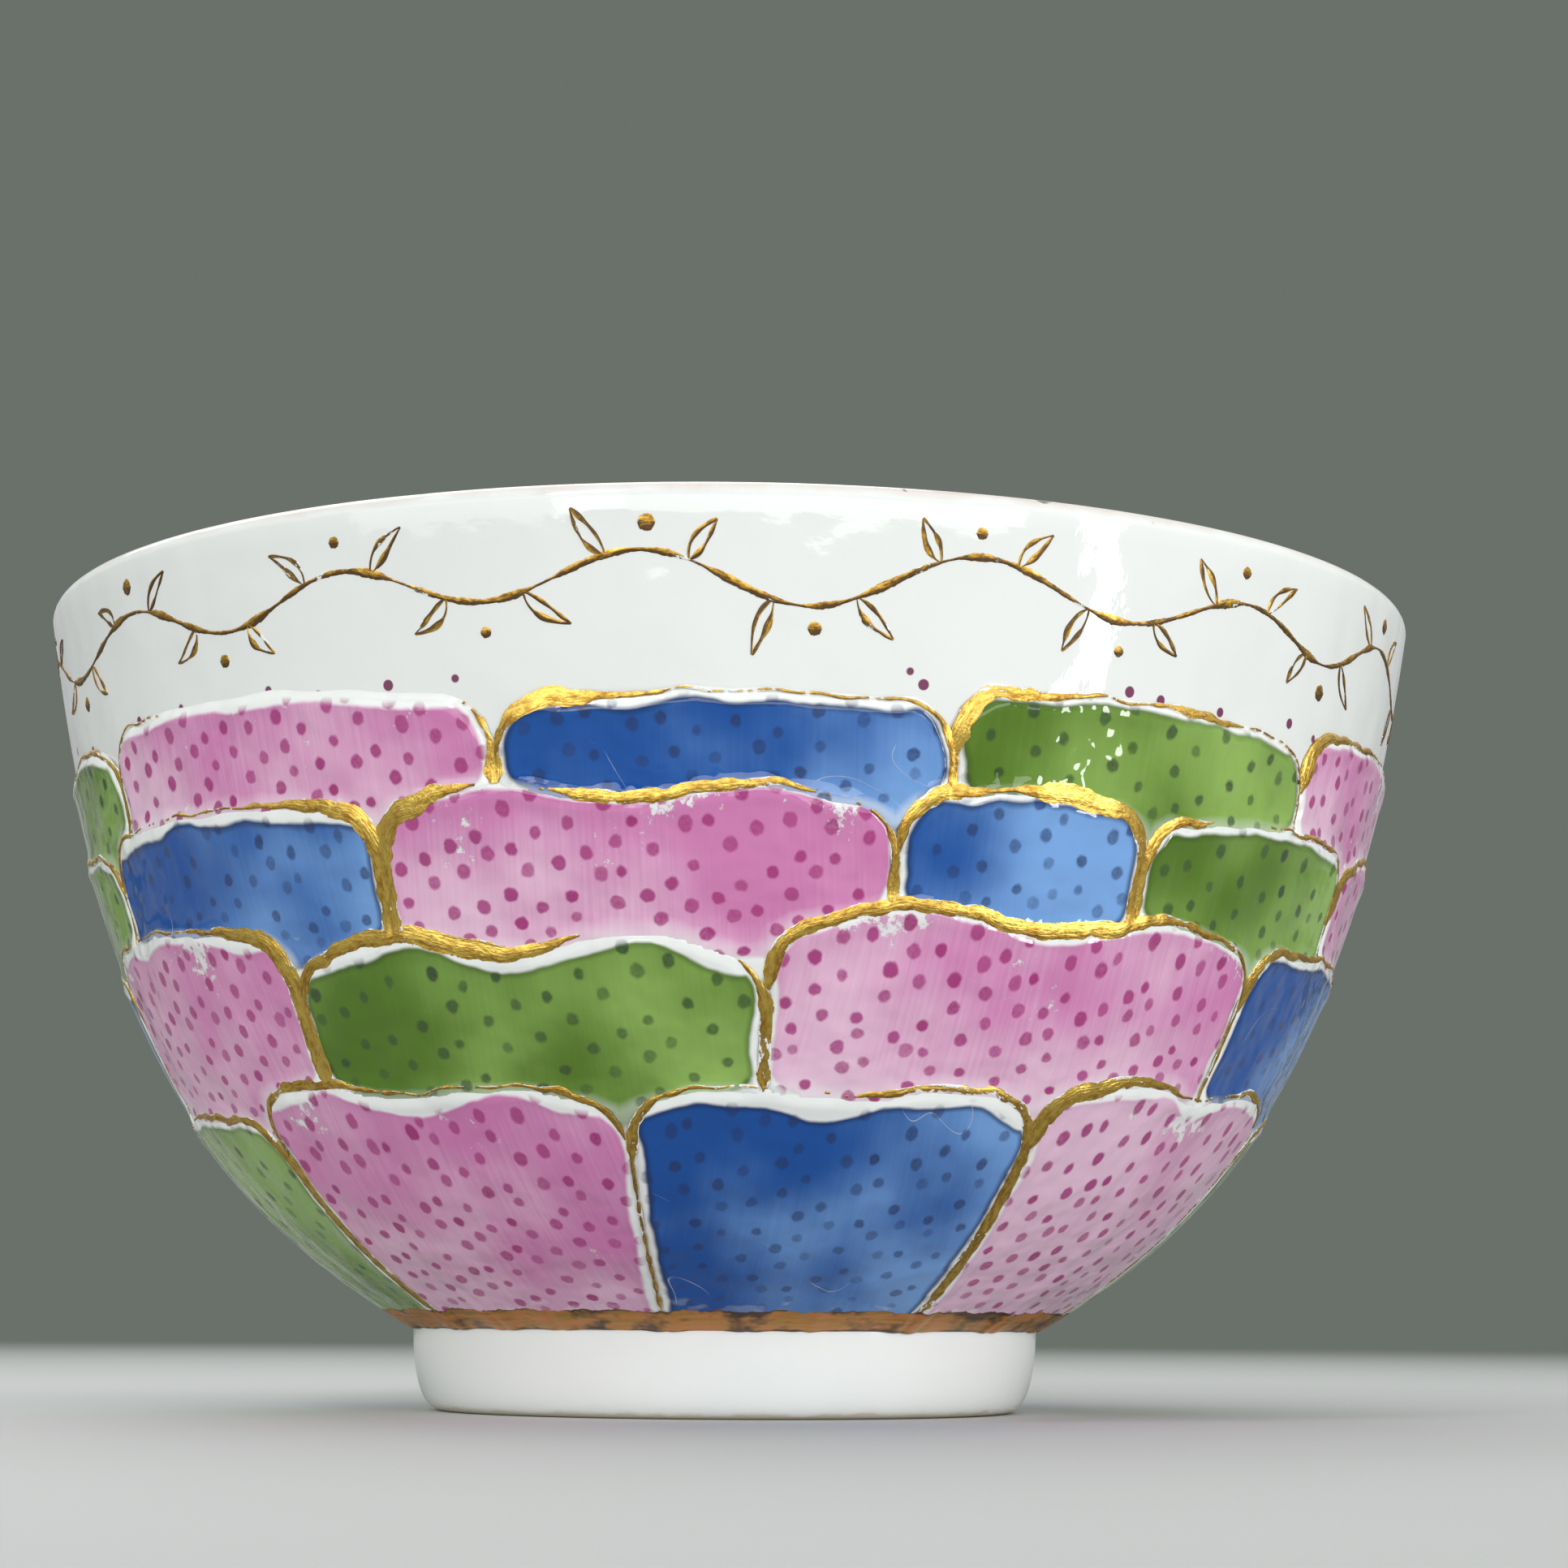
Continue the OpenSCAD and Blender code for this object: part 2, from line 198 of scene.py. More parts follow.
# The gilding, in mm
GILT_LIFT = 0.045  # height of a stroke's face
GILT_DOME = 0.75  # share of that lost at its edges
GILT_ROOT = 0.05  # depth of its back
GILT_OUT = 0.26  # distance of a stroke from the outline of its scale
GILT_CLEAR = 0.1  # and from the next course, where it ends
GILT_STEP = 0.11  # length of a face along it
LEAD_IN = 1.0  # start of a stroke, below the left corner
STROKE_STEP = np.array((31.0, 17.0))  # shift of the pattern from stroke to stroke
VINE_Z = 39.0
VINE_SWING = 1.1
LEAF_LENGTH = 2.5
LEAF_WIDTH = 0.9
LEAF_TILT = math.radians(35)
LEAF_SPREAD = 0.5  # distance between two leaves, as a share of a half wave
LEAF_LINE = 0.26
BERRY = 0.9
STEM = 0.38

# Lamps: place and size in metres, and power in watts
LAMPS = {
    "strip": ((0.1226, -0.0893, 0.046), (0.016, 0.088), 0.06),
    "pane": ((-0.16, -0.3, 0.36), (0.07, 0.12), 0.3),
    "sky": ((-0.05, -0.1, 0.8), (0.8, 0.8), 1.1),
    "fill": ((-0.4, -0.5, 0.2), (0.5, 0.4), 0.9),
    "front": ((0.1, -0.6, 0.1), (0.9, 0.2), 1.45),
    "back": ((-0.15, 0.4, 0.5), (0.5, 0.4), 0.9),
}
LAMP_AIM = Vector((0, 0, 0.022))
SKY_COLOUR = "#F1F4F3"
FLOOR_HALF = 2.5

# The camera: place in metres, angles, and lens and film in mm
CAMERA_PLACE = (0.0, -0.18997, 0.00537)
CAMERA_YAW = math.radians(0.933)
CAMERA_PITCH = math.radians(8.893)
CAMERA_ROLL = math.radians(0.380)
CAMERA_LENS = 77.62
CAMERA_FILM = 36
CAMERA_NEAR = 0.01


def linear(hex_colour):
    """Turns an sRGB hex colour into linear red, green and blue."""
    channels = [int(hex_colour[i:i + 2], 16) / 255 for i in (1, 3, 5)]
    return tuple(c / 12.92 if c <= 0.04045 else ((c + 0.055) / 1.055) ** 2.4 for c in channels)


def size_property(name, description, default_mm):
    """A length that a user may change, stored in metres."""
    return FloatProperty(
        name=name, description=description, default=default_mm * MM, unit="LENGTH", precision=5)


def colour_property(name, description, hex_colour):
    """A colour that a user may change, given as sRGB hex."""
    return FloatVectorProperty(
        name=name, description=description, default=linear(hex_colour), subtype="COLOR", size=3, min=0, max=1)


class TeaBowlSizes(bpy.types.PropertyGroup):
    """Sizes of the bowl and its ornament."""

    rim_radius: size_property("Rim radius", "Radius over the rim", WALL_HIGH[0] / MM)
    bowl_height: size_property("Bowl height", "Height of the lip over the table", WALL_HIGH[2] / MM)
    foot_radius: size_property("Foot radius", "Radius of the foot under the wall", FOOT_HIGH[0] / MM)
    foot_height: size_property("Foot height", "Height of the foot ring", FOOT_HIGH[2] / MM)
    foot_ring_width: size_property("Foot ring width", "Width of the foot ring under the wall", 4.4)
    lip_thickness: size_property("Lip thickness", "Thickness of the wall at the lip", 1.6)
    wall_thickness: size_property("Wall thickness", "Thickness of the wall low in the bowl", 2.4)
    corner_radius: size_property("Corner radius", "Radius of the upper corners of a scale", 2.2)
    channel_width: size_property("Channel width", "Width of the channel between two scales", 0.8)
    gilt_width: size_property("Gilt width", "Width of a full gilt stroke", 0.8)
    dot_share: FloatProperty(
        name="Dot spacing", description="Spacing of the stipple, as a share of the usual one",
        default=1.0, min=0.5)
    vine_waves: IntProperty(
        name="Vine waves", description="Waves of the vine round the rim", default=15, min=8)


class TeaBowlColours(bpy.types.PropertyGroup):
    """Colours of the glaze, the enamels and the gilding."""

    porcelain: colour_property("Porcelain", "Clear glaze over the white body", "#E9ECEA")
    bare_body: colour_property("Bare body", "Unglazed edge of the foot", "#D9CFC0")
    bare_lip: colour_property("Bare lip", "Thin glaze at the lip", "#C9A896")
    pink_pale: colour_property("Pale pink", "Thin wash of the pink enamel", "#E4BED6")
    pink_deep: colour_property("Deep pink", "Full wash of the pink enamel", "#CB7AAF")
    pink_dot: colour_property("Pink dots", "Stipple on the pink enamel", "#9C2670")
    blue_pale: colour_property("Pale blue", "Thin wash of the blue enamel", "#76A3DC")
    blue_deep: colour_property("Deep blue", "Full wash of the blue enamel", "#0E4C9A")
    blue_dot: colour_property("Blue dots", "Stipple on the blue enamel", "#1E2C54")
    green_pale: colour_property("Pale green", "Thin wash of the green enamel", "#8CB058")
    green_deep: colour_property("Deep green", "Full wash of the green enamel", "#4E7118")
    green_dot: colour_property("Green dots", "Stipple on the green enamel", "#2C3F2C")
    gold: colour_property("Gold", "Burnished gilding", "#F0CB66")
    worn_gold: colour_property("Worn gold", "Gilding that has been rubbed thin", "#B08436")
    rubbed_gold: colour_property("Rubbed gold", "Gilding rubbed down to its ground", "#C27832")
    gilt_ground: colour_property("Gilt ground", "Dark ground under the gilding", "#3A2812")
    floor: colour_property("Floor", "Studio floor", "#CDCFCD")
    backdrop: colour_property("Backdrop", "Studio backdrop", "#6A706A")


def smooth_step(low, high, values):
    """Rises from 0 at low to 1 at high with a soft start and end."""
    share = np.clip((values - low) / (high - low), 0, 1)
    return share * share * (3 - 2 * share)


def ripple(values, wavelength, seed):
    """Smooth uneven variation between about -1 and 1, the same at each run."""
    turns = 2 * math.pi * np.asarray(values) / wavelength
    waves = ((1, 1.7, 0), (1.73, 2.9, 1), (2.61, 4.3, 0))
    return sum(np.sin(rate * turns + shift * seed + start) for rate, shift, start in waves) / 2.2


Scale = namedtuple(
    "Scale", "node enamel seed course middle half top low relief lobes dip tilt margin wash load")


class BowlForm:
    """The bowl's outer wall and the relief on it, in millimetres, with angles in radians from the front."""

    def __init__(self, sizes):
        self.corner = sizes.corner_radius / MM
        self.channel = sizes.channel_width / MM
        self.foot_radius = sizes.foot_radius / MM
        self.foot_height = sizes.foot_height / MM
        self.lip = sizes.lip_thickness / MM / 2
        self.rim_radius = sizes.rim_radius / MM
        self.rim_height = sizes.bowl_height / MM - self.lip
        self.foot_line_z = FOOT_LINE_HIGH[2] / MM
        start = np.array((self.foot_radius, self.foot_height))
        end = np.array((self.rim_radius, self.rim_height))
        near_start = start + FLARE_PULL * np.array((math.cos(FLARE_SLOPE), math.sin(FLARE_SLOPE)))
        near_end = end - RIM_PULL * np.array((math.cos(RIM_SLOPE), math.sin(RIM_SLOPE)))
        t = np.linspace(0, 1, WALL_SAMPLES)[:, None]
        near_foot = (1 - t) ** 3 * start + 3 * t * (1 - t) ** 2 * near_start
        self.curve = near_foot + 3 * t * t * (1 - t) * near_end + t ** 3 * end
        way = np.gradient(self.curve, axis=0)
        self.way = way / np.linalg.norm(way, axis=1)[:, None]
        self.courses = [self.course_scales(k) for k in range(len(COURSES))]

    def course_scales(self, k):
        """The scales of one course, from its row in the table."""
        name, _, upper, relief, rows = COURSES[k]
        low = COURSES[k + 1][2] - LAP if k + 1 < len(COURSES) else self.foot_line_z
        scales = []
        for i, (left, enamel_name, lift, lobes, dip, tilt, margin, wash, load) in enumerate(rows):
            right = rows[i + 1][0] if i + 1 < len(rows) else rows[0][0] + 360
            scales.append(Scale(
                f"{name}_{i + 1}", enamel_name, 10 * k + i, k, math.radians((left + right) / 2),
                math.radians((right - left) / 2), upper + lift, low, relief, lobes, dip, tilt, margin, wash,
                GILT_LOADS[load]))
        return scales

    def radius(self, z):
        """Outer radius of the wall at a height."""
        return np.interp(z, self.curve[:, 1], self.curve[:, 0])

    def slope(self, z):
        """Cosine and sine of the wall's slope at a height."""
        heights = self.curve[:, 1]
        return np.interp(z, heights, self.way[:, 0]), np.interp(z, heights, self.way[:, 1])

    def unevenness(self, theta, z):
        """How far the hand-thrown wall departs from round."""
        return 0.05 * np.sin(2 * theta + 0.9) * z / 40 + 0.03 * np.sin(3 * theta + 0.16 * z + 2)

    def place(self, theta, z, height):
        """Points at a height over the wall, measured level, in metres."""
        run, rise = self.slope(z)
        r = self.radius(z) + height * rise * rise + self.unevenness(theta, z)
        return np.stack((r * np.sin(theta), -r * np.cos(theta), z - height * rise * run), axis=1) * MM

    def between_lobes(self, scale, share):
        """Rises from 0 on top of a scale's lobes to 1 between them, at a share of its half width."""
        return (1 + np.cos(math.pi * scale.lobes * (share + 1))) / 2

    def top_edge(self, scale, share):
        """Height of a scale's upper edge at a share of its half width."""
        wander = 0.09 * ripple(share, 0.9, scale.seed)
        return scale.top + scale.tilt * share - scale.dip * self.between_lobes(scale, share) + wander

    def across(self, scale, theta, z):
        """Level distance from a scale's middle line, and the scale's half width there."""
        turn = np.mod(theta - scale.middle + math.pi, 2 * math.pi) - math.pi
        r = self.radius(z)
        lean = 0.12 * ripple(z, 9, scale.course + 0.5)
        return turn * r - lean, scale.half * r - self.channel / 2

    def inside(self, scale, theta, z, widen=0.0):
        """How far points lie inside a scale's outline, and below its upper edge."""
        offset, half = self.across(scale, theta, z)
        side = half + widen - np.abs(offset)
        up = (self.top_edge(scale, np.clip(offset / half, -1, 1)) - z) / self.slope(z)[1]
        corner = self.corner - np.hypot(self.corner - side, self.corner - up)
        in_corner = (side < self.corner) & (up < self.corner)
        return np.where(in_corner, corner, np.minimum(side, up)), up

    def course_inside(self, k, theta, z):
        """How far points lie inside a course, taken without the channels between its scales."""
        widen = self.channel / 2 + CHANNEL_LAP
        return np.max([self.inside(scale, theta, z, widen)[0] for scale in self.courses[k]], axis=0)

    def covered(self, scale, theta, z):
        """How far points of a scale lie inside the next course, which covers them."""
        if scale.course + 1 == len(self.courses):
            return np.full_like(z, UNCOVERED)
        return self.course_inside(scale.course + 1, theta, z)

    def height(self, theta, z):
        """Height of the relief over the wall, with the courses lapped and their glaze run together."""
        total = np.zeros_like(z)
        for course in self.courses:
            laid = np.zeros_like(z)
            nearest = np.full_like(z, -np.inf)
            for scale in course:
                inside, _ = self.inside(scale, theta, z)
                nearest = np.maximum(nearest, inside)
                share = np.clip((z - scale.low) / (scale.top - scale.low), 0, 1)
                pad = LOW_RELIEF + (scale.relief - LOW_RELIEF) * share
                bead = BEAD * share * np.exp(-((inside - EDGE_IN) / BEAD_WIDTH) ** 2)
                laid = np.maximum(laid, (pad + bead) * smooth_step(-EDGE_OUT, EDGE_IN, inside))
            total = total + POOL * np.exp(-(nearest / POOL_WIDTH) ** 2)
            blend = FILLET * np.clip(np.minimum(total, laid) / LOW_RELIEF, 0.001, 1)
            share = np.clip(0.5 + 0.5 * (laid - total) / blend, 0, 1)
            total = total * (1 - share) + laid * share + blend * share * (1 - share)
        return total


def grid_positions(columns, rows, absent=None):
    """A closed flat slab from a grid, with its face at level 0 and its back at level -1."""
    bm = bmesh.new()
    bmesh.ops.create_grid(bm, x_segments=columns, y_segments=rows, size=1)
    if absent is not None:
        gone = [face for face in bm.faces if absent(face.calc_center_median())]
        while gone:
            bmesh.ops.delete(bm, geom=gone, context="FACES")
            pinched = [vert for vert in bm.verts if sum(edge.is_boundary for edge in vert.link_edges) > 2]
            gone = list({face for vert in pinched for face in vert.link_faces})
    raised = bmesh.ops.extrude_face_region(bm, geom=bm.faces[:])
    face_verts = [item for item in raised["geom"] if isinstance(item, bmesh.types.BMVert)]
    bmesh.ops.translate(bm, vec=(0, 0, 1), verts=face_verts)
    bmesh.ops.translate(bm, vec=(0, 0, -1), verts=bm.verts)
    bmesh.ops.recalc_face_normals(bm, faces=bm.faces)
    return bm, np.array([vert.co for vert in bm.verts])


def laid_mesh(name, bm, points, uv_name, uv, **attributes):
    """The slab's mesh with its vertices moved to points, a UV map in mm and named float attributes."""
    mesh = bpy.data.meshes.new(name)
    bm.to_mesh(mesh)
    bm.free()
    mesh.vertices.foreach_set("co", points.astype(np.float32).ravel())
    corners = np.empty(len(mesh.loops), dtype=np.int32)
    mesh.loops.foreach_get("vertex_index", corners)
    layer = mesh.uv_layers.new(name=uv_name)
    layer.data.foreach_set("uv", uv[corners].astype(np.float32).ravel())
    for key, values in attributes.items():
        mesh.attributes.new(key, "FLOAT", "POINT").data.foreach_set("value", values.astype(np.float32))
    mesh.update()
    return mesh


def joined_mesh(name, meshes):
    """One mesh from many."""
    bm = bmesh.new()
    for mesh in meshes:
        bm.from_mesh(mesh)
        bpy.data.meshes.remove(mesh)
    whole = bpy.data.meshes.new(name)
    bm.to_mesh(whole)
    bm.free()
    return whole


def make_piece(name, mesh, material, nodes):
    """Puts a finished mesh in the scene in place of its nodes."""
    if not mesh.polygons:
        raise RuntimeError(f"{name} has no faces")
    mesh.materials.append(material)
    mesh.shade_smooth()
    mesh.set_sharp_from_angle(angle=math.radians(50))
    piece = bpy.data.objects.new(name, mesh)
    bpy.context.scene.collection.objects.link(piece)
    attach(piece, "root")
    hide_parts(*nodes)
    return piece


def spun_mesh(name, profile, steps, form):
    """A closed mesh turned from a profile of (radius, height) in mm, and a little out of round."""
    bm = bmesh.new()
    verts = [bm.verts.new((r * MM, 0, z * MM)) for r, z in profile]
    edges = [bm.edges.new((verts[i - 1], verts[i])) for i in range(1, len(verts))]
    if profile[0][0] > 0:
        edges.append(bm.edges.new((verts[-1], verts[0])))
    bmesh.ops.spin(
        bm, geom=verts + edges, cent=(0, 0, 0), axis=(0, 0, 1), angle=2 * math.pi, steps=steps,
        use_merge=True)
    bmesh.ops.remove_doubles(bm, verts=bm.verts, dist=WELD * MM)
    bmesh.ops.recalc_face_normals(bm, faces=bm.faces)
    for vert in bm.verts:
        r = math.hypot(vert.co.x, vert.co.y)
        if r > 0:
            wobble = form.unevenness(math.atan2(vert.co.x, -vert.co.y), vert.co.z / MM) * MM
            swell = 1 + wobble / r * min(1, r / (CALM_RADIUS * MM))
            vert.co.x *= swell
            vert.co.y *= swell
    mesh = bpy.data.meshes.new(name)
    bm.to_mesh(mesh)
    bm.free()
    return mesh


def add(tree, kind, inputs=None, **settings):
    """Adds a node with its settings; an input given as a socket is linked and any other is set."""
    node = tree.nodes.new(kind)
    for key, value in settings.items():
        setattr(node, key, value)
    for key, value in (inputs or {}).items():
        if isinstance(value, bpy.types.NodeSocket):
            tree.links.new(value, node.inputs[key])
        else:
            node.inputs[key].default_value = value
    return node


def new_material(name):
    """An empty node material and its tree and shader."""
    material = bpy.data.materials.new(name)
    material.use_nodes = True
    tree = material.node_tree
    tree.nodes.clear()
    shader = add(tree, "ShaderNodeBsdfPrincipled")
    add(tree, "ShaderNodeOutputMaterial", {"Surface": shader.outputs[0]})
    return material, tree, shader


def rgba(colour):
    """A colour with full alpha."""
    return (*colour, 1.0)


def speckled(tree, spot, colour):
    """Adds a few grey specks of grit to a colour of the body."""
    grit = add(tree, "ShaderNodeTexVoronoi", {"Vector": spot, "Scale": 1 / (3.4 * MM), "Randomness": 1.0})
    pick = add(tree, "ShaderNodeSeparateColor", {"Color": grit.outputs["Color"]})
    dot = add(tree, "ShaderNodeMapRange", {
        "Value": grit.outputs["Distance"], "From Min": 0.045, "From Max": 0.02, "To Max": 0.5})
    rare = add(tree, "ShaderNodeMath", {0: pick.outputs[0], 1: 0.86}, operation="GREATER_THAN")
    speck = add(tree, "ShaderNodeMath", {0: dot.outputs[0], 1: rare.outputs[0]}, operation="MULTIPLY")
    return add(tree, "ShaderNodeMix", {
        0: speck.outputs[0], 6: colour.outputs[2], 7: rgba(linear("#6B645C"))}, data_type="RGBA")


def stray_dots(tree, spot, colour, tone):
    """Adds a few stray dots of the stipple to the white outside, over the top course."""
    cells = add(tree, "ShaderNodeTexVoronoi", {
        "Vector": spot, "Scale": 1 / (STRAY_SPACING * MM), "Randomness": 1.0})
    dot = add(tree, "ShaderNodeMapRange", {
        "Value": cells.outputs["Distance"], "From Min": 0.2, "From Max": 0.17, "To Max": 0.95})
    centre = add(tree, "ShaderNodeSeparateXYZ", {"Vector": cells.outputs["Position"]}).outputs["Z"]
    in_band = add(tree, "ShaderNodeMath", {
        0: centre, 1: STRAY_Z * MM, 2: STRAY_BAND * MM}, operation="COMPARE")
    level_spot = add(tree, "ShaderNodeVectorMath", {0: spot, 1: (1.0, 1.0, 0.0)}, operation="MULTIPLY")
    reach = add(tree, "ShaderNodeVectorMath", {
        0: level_spot.outputs[0]}, operation="LENGTH").outputs["Value"]
    outside = add(tree, "ShaderNodeMath", {
        0: reach, 1: WALL_HIGH[0] - STRAY_DEPTH * MM}, operation="GREATER_THAN")
    for mask in (in_band, outside):
        dot = add(tree, "ShaderNodeMath", {0: dot.outputs[0], 1: mask.outputs[0]}, operation="MULTIPLY")
    return add(tree, "ShaderNodeMix", {
        0: dot.outputs[0], 6: colour.outputs[2], 7: rgba(tone)}, data_type="RGBA")


def worn_lip(tree, spot, colour, bare_lip):
    """Lets the body show warm at the lip, where the glaze is thin, and dark where the lip is chipped."""
    level = add(tree, "ShaderNodeSeparateXYZ", {"Vector": spot}).outputs["Z"]
    patchy = add(tree, "ShaderNodeTexNoise", {"Vector": spot, "Scale": 1 / (2.5 * MM), "Detail": 4.0})
    height = add(tree, "ShaderNodeMath", {
        0: patchy.outputs["Fac"], 1: 0.9 * MM, 2: level}, operation="MULTIPLY_ADD")
    thin = add(tree, "ShaderNodeMapRange", {
        "Value": height.outputs[0], "From Min": WALL_HIGH[2] - 0.15 * MM, "From Max": WALL_HIGH[2] + 0.4 * MM,
        "To Max": 0.5})
    colour = add(tree, "ShaderNodeMix", {
        0: thin.outputs[0], 6: colour.outputs[2], 7: rgba(bare_lip)}, data_type="RGBA")
    nicks = add(tree, "ShaderNodeTexNoise", {"Vector": spot, "Scale": 1 / (1.1 * MM), "Detail": 3.0})
    chip = add(tree, "ShaderNodeMapRange", {
        "Value": nicks.outputs["Fac"], "From Min": 0.7, "From Max": 0.74})
    at_lip = add(tree, "ShaderNodeMapRange", {
        "Value": level, "From Min": WALL_HIGH[2] - 0.6 * MM, "From Max": WALL_HIGH[2] - 0.3 * MM})
    chip = add(tree, "ShaderNodeMath", {0: chip.outputs[0], 1: at_lip.outputs[0]}, operation="MULTIPLY")
    return add(tree, "ShaderNodeMix", {
        0: chip.outputs[0], 6: colour.outputs[2], 7: rgba(linear("#5A4638"))}, data_type="RGBA")


def porcelain(colours):
    """Glazed porcelain: a clear, cool white glaze in soft waves, with grey specks and a warm, nicked lip."""
    material, tree, shader = new_material("clear_glazed_porcelain")
    spot = add(tree, "ShaderNodeTexCoord").outputs["Object"]
    cloud = add(tree, "ShaderNodeTexNoise", {"Vector": spot, "Scale": 1 / (12 * MM), "Detail": 2.0})
    tint = add(tree, "ShaderNodeMix", {
        0: cloud.outputs["Fac"], 6: rgba(colours.porcelain),
        7: rgba(tuple(c * 0.95 for c in colours.porcelain))}, data_type="RGBA")
    colour = speckled(tree, spot, tint)
    colour = stray_dots(tree, spot, colour, tuple(c * 0.5 for c in colours.pink_dot))
    colour = worn_lip(tree, spot, colour, colours.bare_lip)
    tree.links.new(colour.outputs[2], shader.inputs["Base Color"])
    wave = add(tree, "ShaderNodeTexNoise", {"Vector": spot, "Scale": 1 / (4 * MM), "Detail": 1.0})
    fine = add(tree, "ShaderNodeTexNoise", {"Vector": spot, "Scale": 1 / (0.9 * MM), "Detail": 3.0})
    skin = add(tree, "ShaderNodeMath", {
        0: fine.outputs["Fac"], 1: 0.07, 2: wave.outputs["Fac"]}, operation="MULTIPLY_ADD")
    bump = add(tree, "ShaderNodeBump", {"Height": skin.outputs[0], "Strength": 1.0, "Distance": 0.19 * MM})
    tree.links.new(bump.outputs[0], shader.inputs["Normal"])
    shader.inputs["Roughness"].default_value = 0.04
    shader.inputs["IOR"].default_value = 1.52
    return material


def foot_porcelain(colours):
    """Porcelain of the foot: a glaze painted paler than the wall's, to lighten the shaded foot, wiped off
    where it stands, so that the dry body shows.
    """
    material, tree, shader = new_material("wiped_lightened_porcelain")
    spot = add(tree, "ShaderNodeTexCoord").outputs["Object"]
    level = add(tree, "ShaderNodeSeparateXYZ", {"Vector": spot}).outputs["Z"]
    rough_edge = add(tree, "ShaderNodeTexNoise", {"Vector": spot, "Scale": 1 / (1.5 * MM), "Detail": 3.0})
    shift = add(tree, "ShaderNodeMath", {
        0: rough_edge.outputs["Fac"], 1: 0.5 * MM, 2: level}, operation="MULTIPLY_ADD")
    bare = add(tree, "ShaderNodeMapRange", {
        "Value": shift.outputs[0], "From Min": 0.62 * MM, "From Max": 0.45 * MM})
    # The glaze here is painted paler than the wall's porcelain: painted light on the foot, which stands in
    # shade
    cloud = add(tree, "ShaderNodeTexNoise", {"Vector": spot, "Scale": 1 / (5 * MM), "Detail": 3.0})
    glaze = add(tree, "ShaderNodeMix", {
        0: cloud.outputs["Fac"], 6: rgba(linear("#F5F7F6")), 7: rgba(linear("#EFF2F0"))}, data_type="RGBA")
    colour = add(tree, "ShaderNodeMix", {
        0: bare.outputs[0], 6: speckled(tree, spot, glaze).outputs[2], 7: rgba(colours.bare_body)},
        data_type="RGBA")
    tree.links.new(colour.outputs[2], shader.inputs["Base Color"])
    rough = add(tree, "ShaderNodeMapRange", {"Value": bare.outputs[0], "To Min": 0.12, "To Max": 0.75})
    tree.links.new(rough.outputs[0], shader.inputs["Roughness"])
    bump = add(tree, "ShaderNodeBump", {
        "Height": cloud.outputs["Fac"], "Strength": 0.3, "Distance": 0.08 * MM})
    tree.links.new(bump.outputs[0], shader.inputs["Normal"])
    shader.inputs["IOR"].default_value = 1.52
    return material


def enamel_wash(tree, uv, field, brush, pale, deep):
    """The colour of a brushed wash and its cover, crisp at the sides and top and faded at its foot."""
    clouds = add(tree, "ShaderNodeTexNoise", {
        "Vector": uv, "Scale": 1 / 8.5, "Detail": 2.5, "Roughness": 0.5})
    upright = add(tree, "ShaderNodeMapping", {"Vector": uv, "Scale": (1 / 0.2, 1 / 7.0, 1.0)})
    marks = add(tree, "ShaderNodeTexNoise", {"Vector": upright.outputs[0], "Scale": 1.0, "Detail": 3.0})
    tone = add(tree, "ShaderNodeMath", {
        0: clouds.outputs["Fac"], 1: 1.9, 2: brush.depth}, operation="MULTIPLY_ADD")
    # The scale's wash strength carries uneven tone and, on the front scales, painted light and shade as well
    shifts = (
        (field["wash"], 1.0), (field["rise"], brush.rise), (field["side"], brush.lean),
        (marks.outputs["Fac"], brush.marks))
    for value, weight in shifts:
        tone = add(tree, "ShaderNodeMath", {
            0: value, 1: weight, 2: tone.outputs[0]}, operation="MULTIPLY_ADD")
    wash = add(tree, "ShaderNodeMapRange", {"Value": tone.outputs[0]}, interpolation_type="SMOOTHSTEP")
    colour = add(tree, "ShaderNodeMix", {
        0: wash.outputs[0], 6: rgba(pale), 7: rgba(deep)}, data_type="RGBA")

    # Its edge, with a thin pooled line at the sides and top
    fray = add(tree, "ShaderNodeTexNoise", {"Vector": uv, "Scale": 1 / 2.4, "Detail": 2.0})
    reach = add(tree, "ShaderNodeMath", {
        0: fray.outputs["Fac"], 1: 0.6, 2: field["edge_mm"]}, operation="MULTIPLY_ADD")
    upper = add(tree, "ShaderNodeMapRange", {
        "Value": reach.outputs[0], "From Min": 0.2, "From Max": 0.46}, interpolation_type="SMOOTHSTEP")
    pooled = add(tree, "ShaderNodeMapRange", {
        "Value": reach.outputs[0], "From Min": 0.72, "From Max": 0.42, "To Max": brush.pooled})
    colour = add(tree, "ShaderNodeMix", {
        0: pooled.outputs[0], 6: colour.outputs[2], 7: rgba(tuple(c * 0.3 for c in deep))}, data_type="RGBA")
    fade = add(tree, "ShaderNodeMath", {
        0: fray.outputs["Fac"], 1: 0.9 * brush.fade, 2: field["foot_mm"]}, operation="MULTIPLY_ADD")
    lower = add(tree, "ShaderNodeMapRange", {
        "Value": fade.outputs[0], "From Min": 0.3, "From Max": 0.3 + brush.fade, "To Min": brush.left})
    cover = add(tree, "ShaderNodeMath", {0: upper.outputs[0], 1: lower.outputs[0]}, operation="MULTIPLY")
    return colour, cover


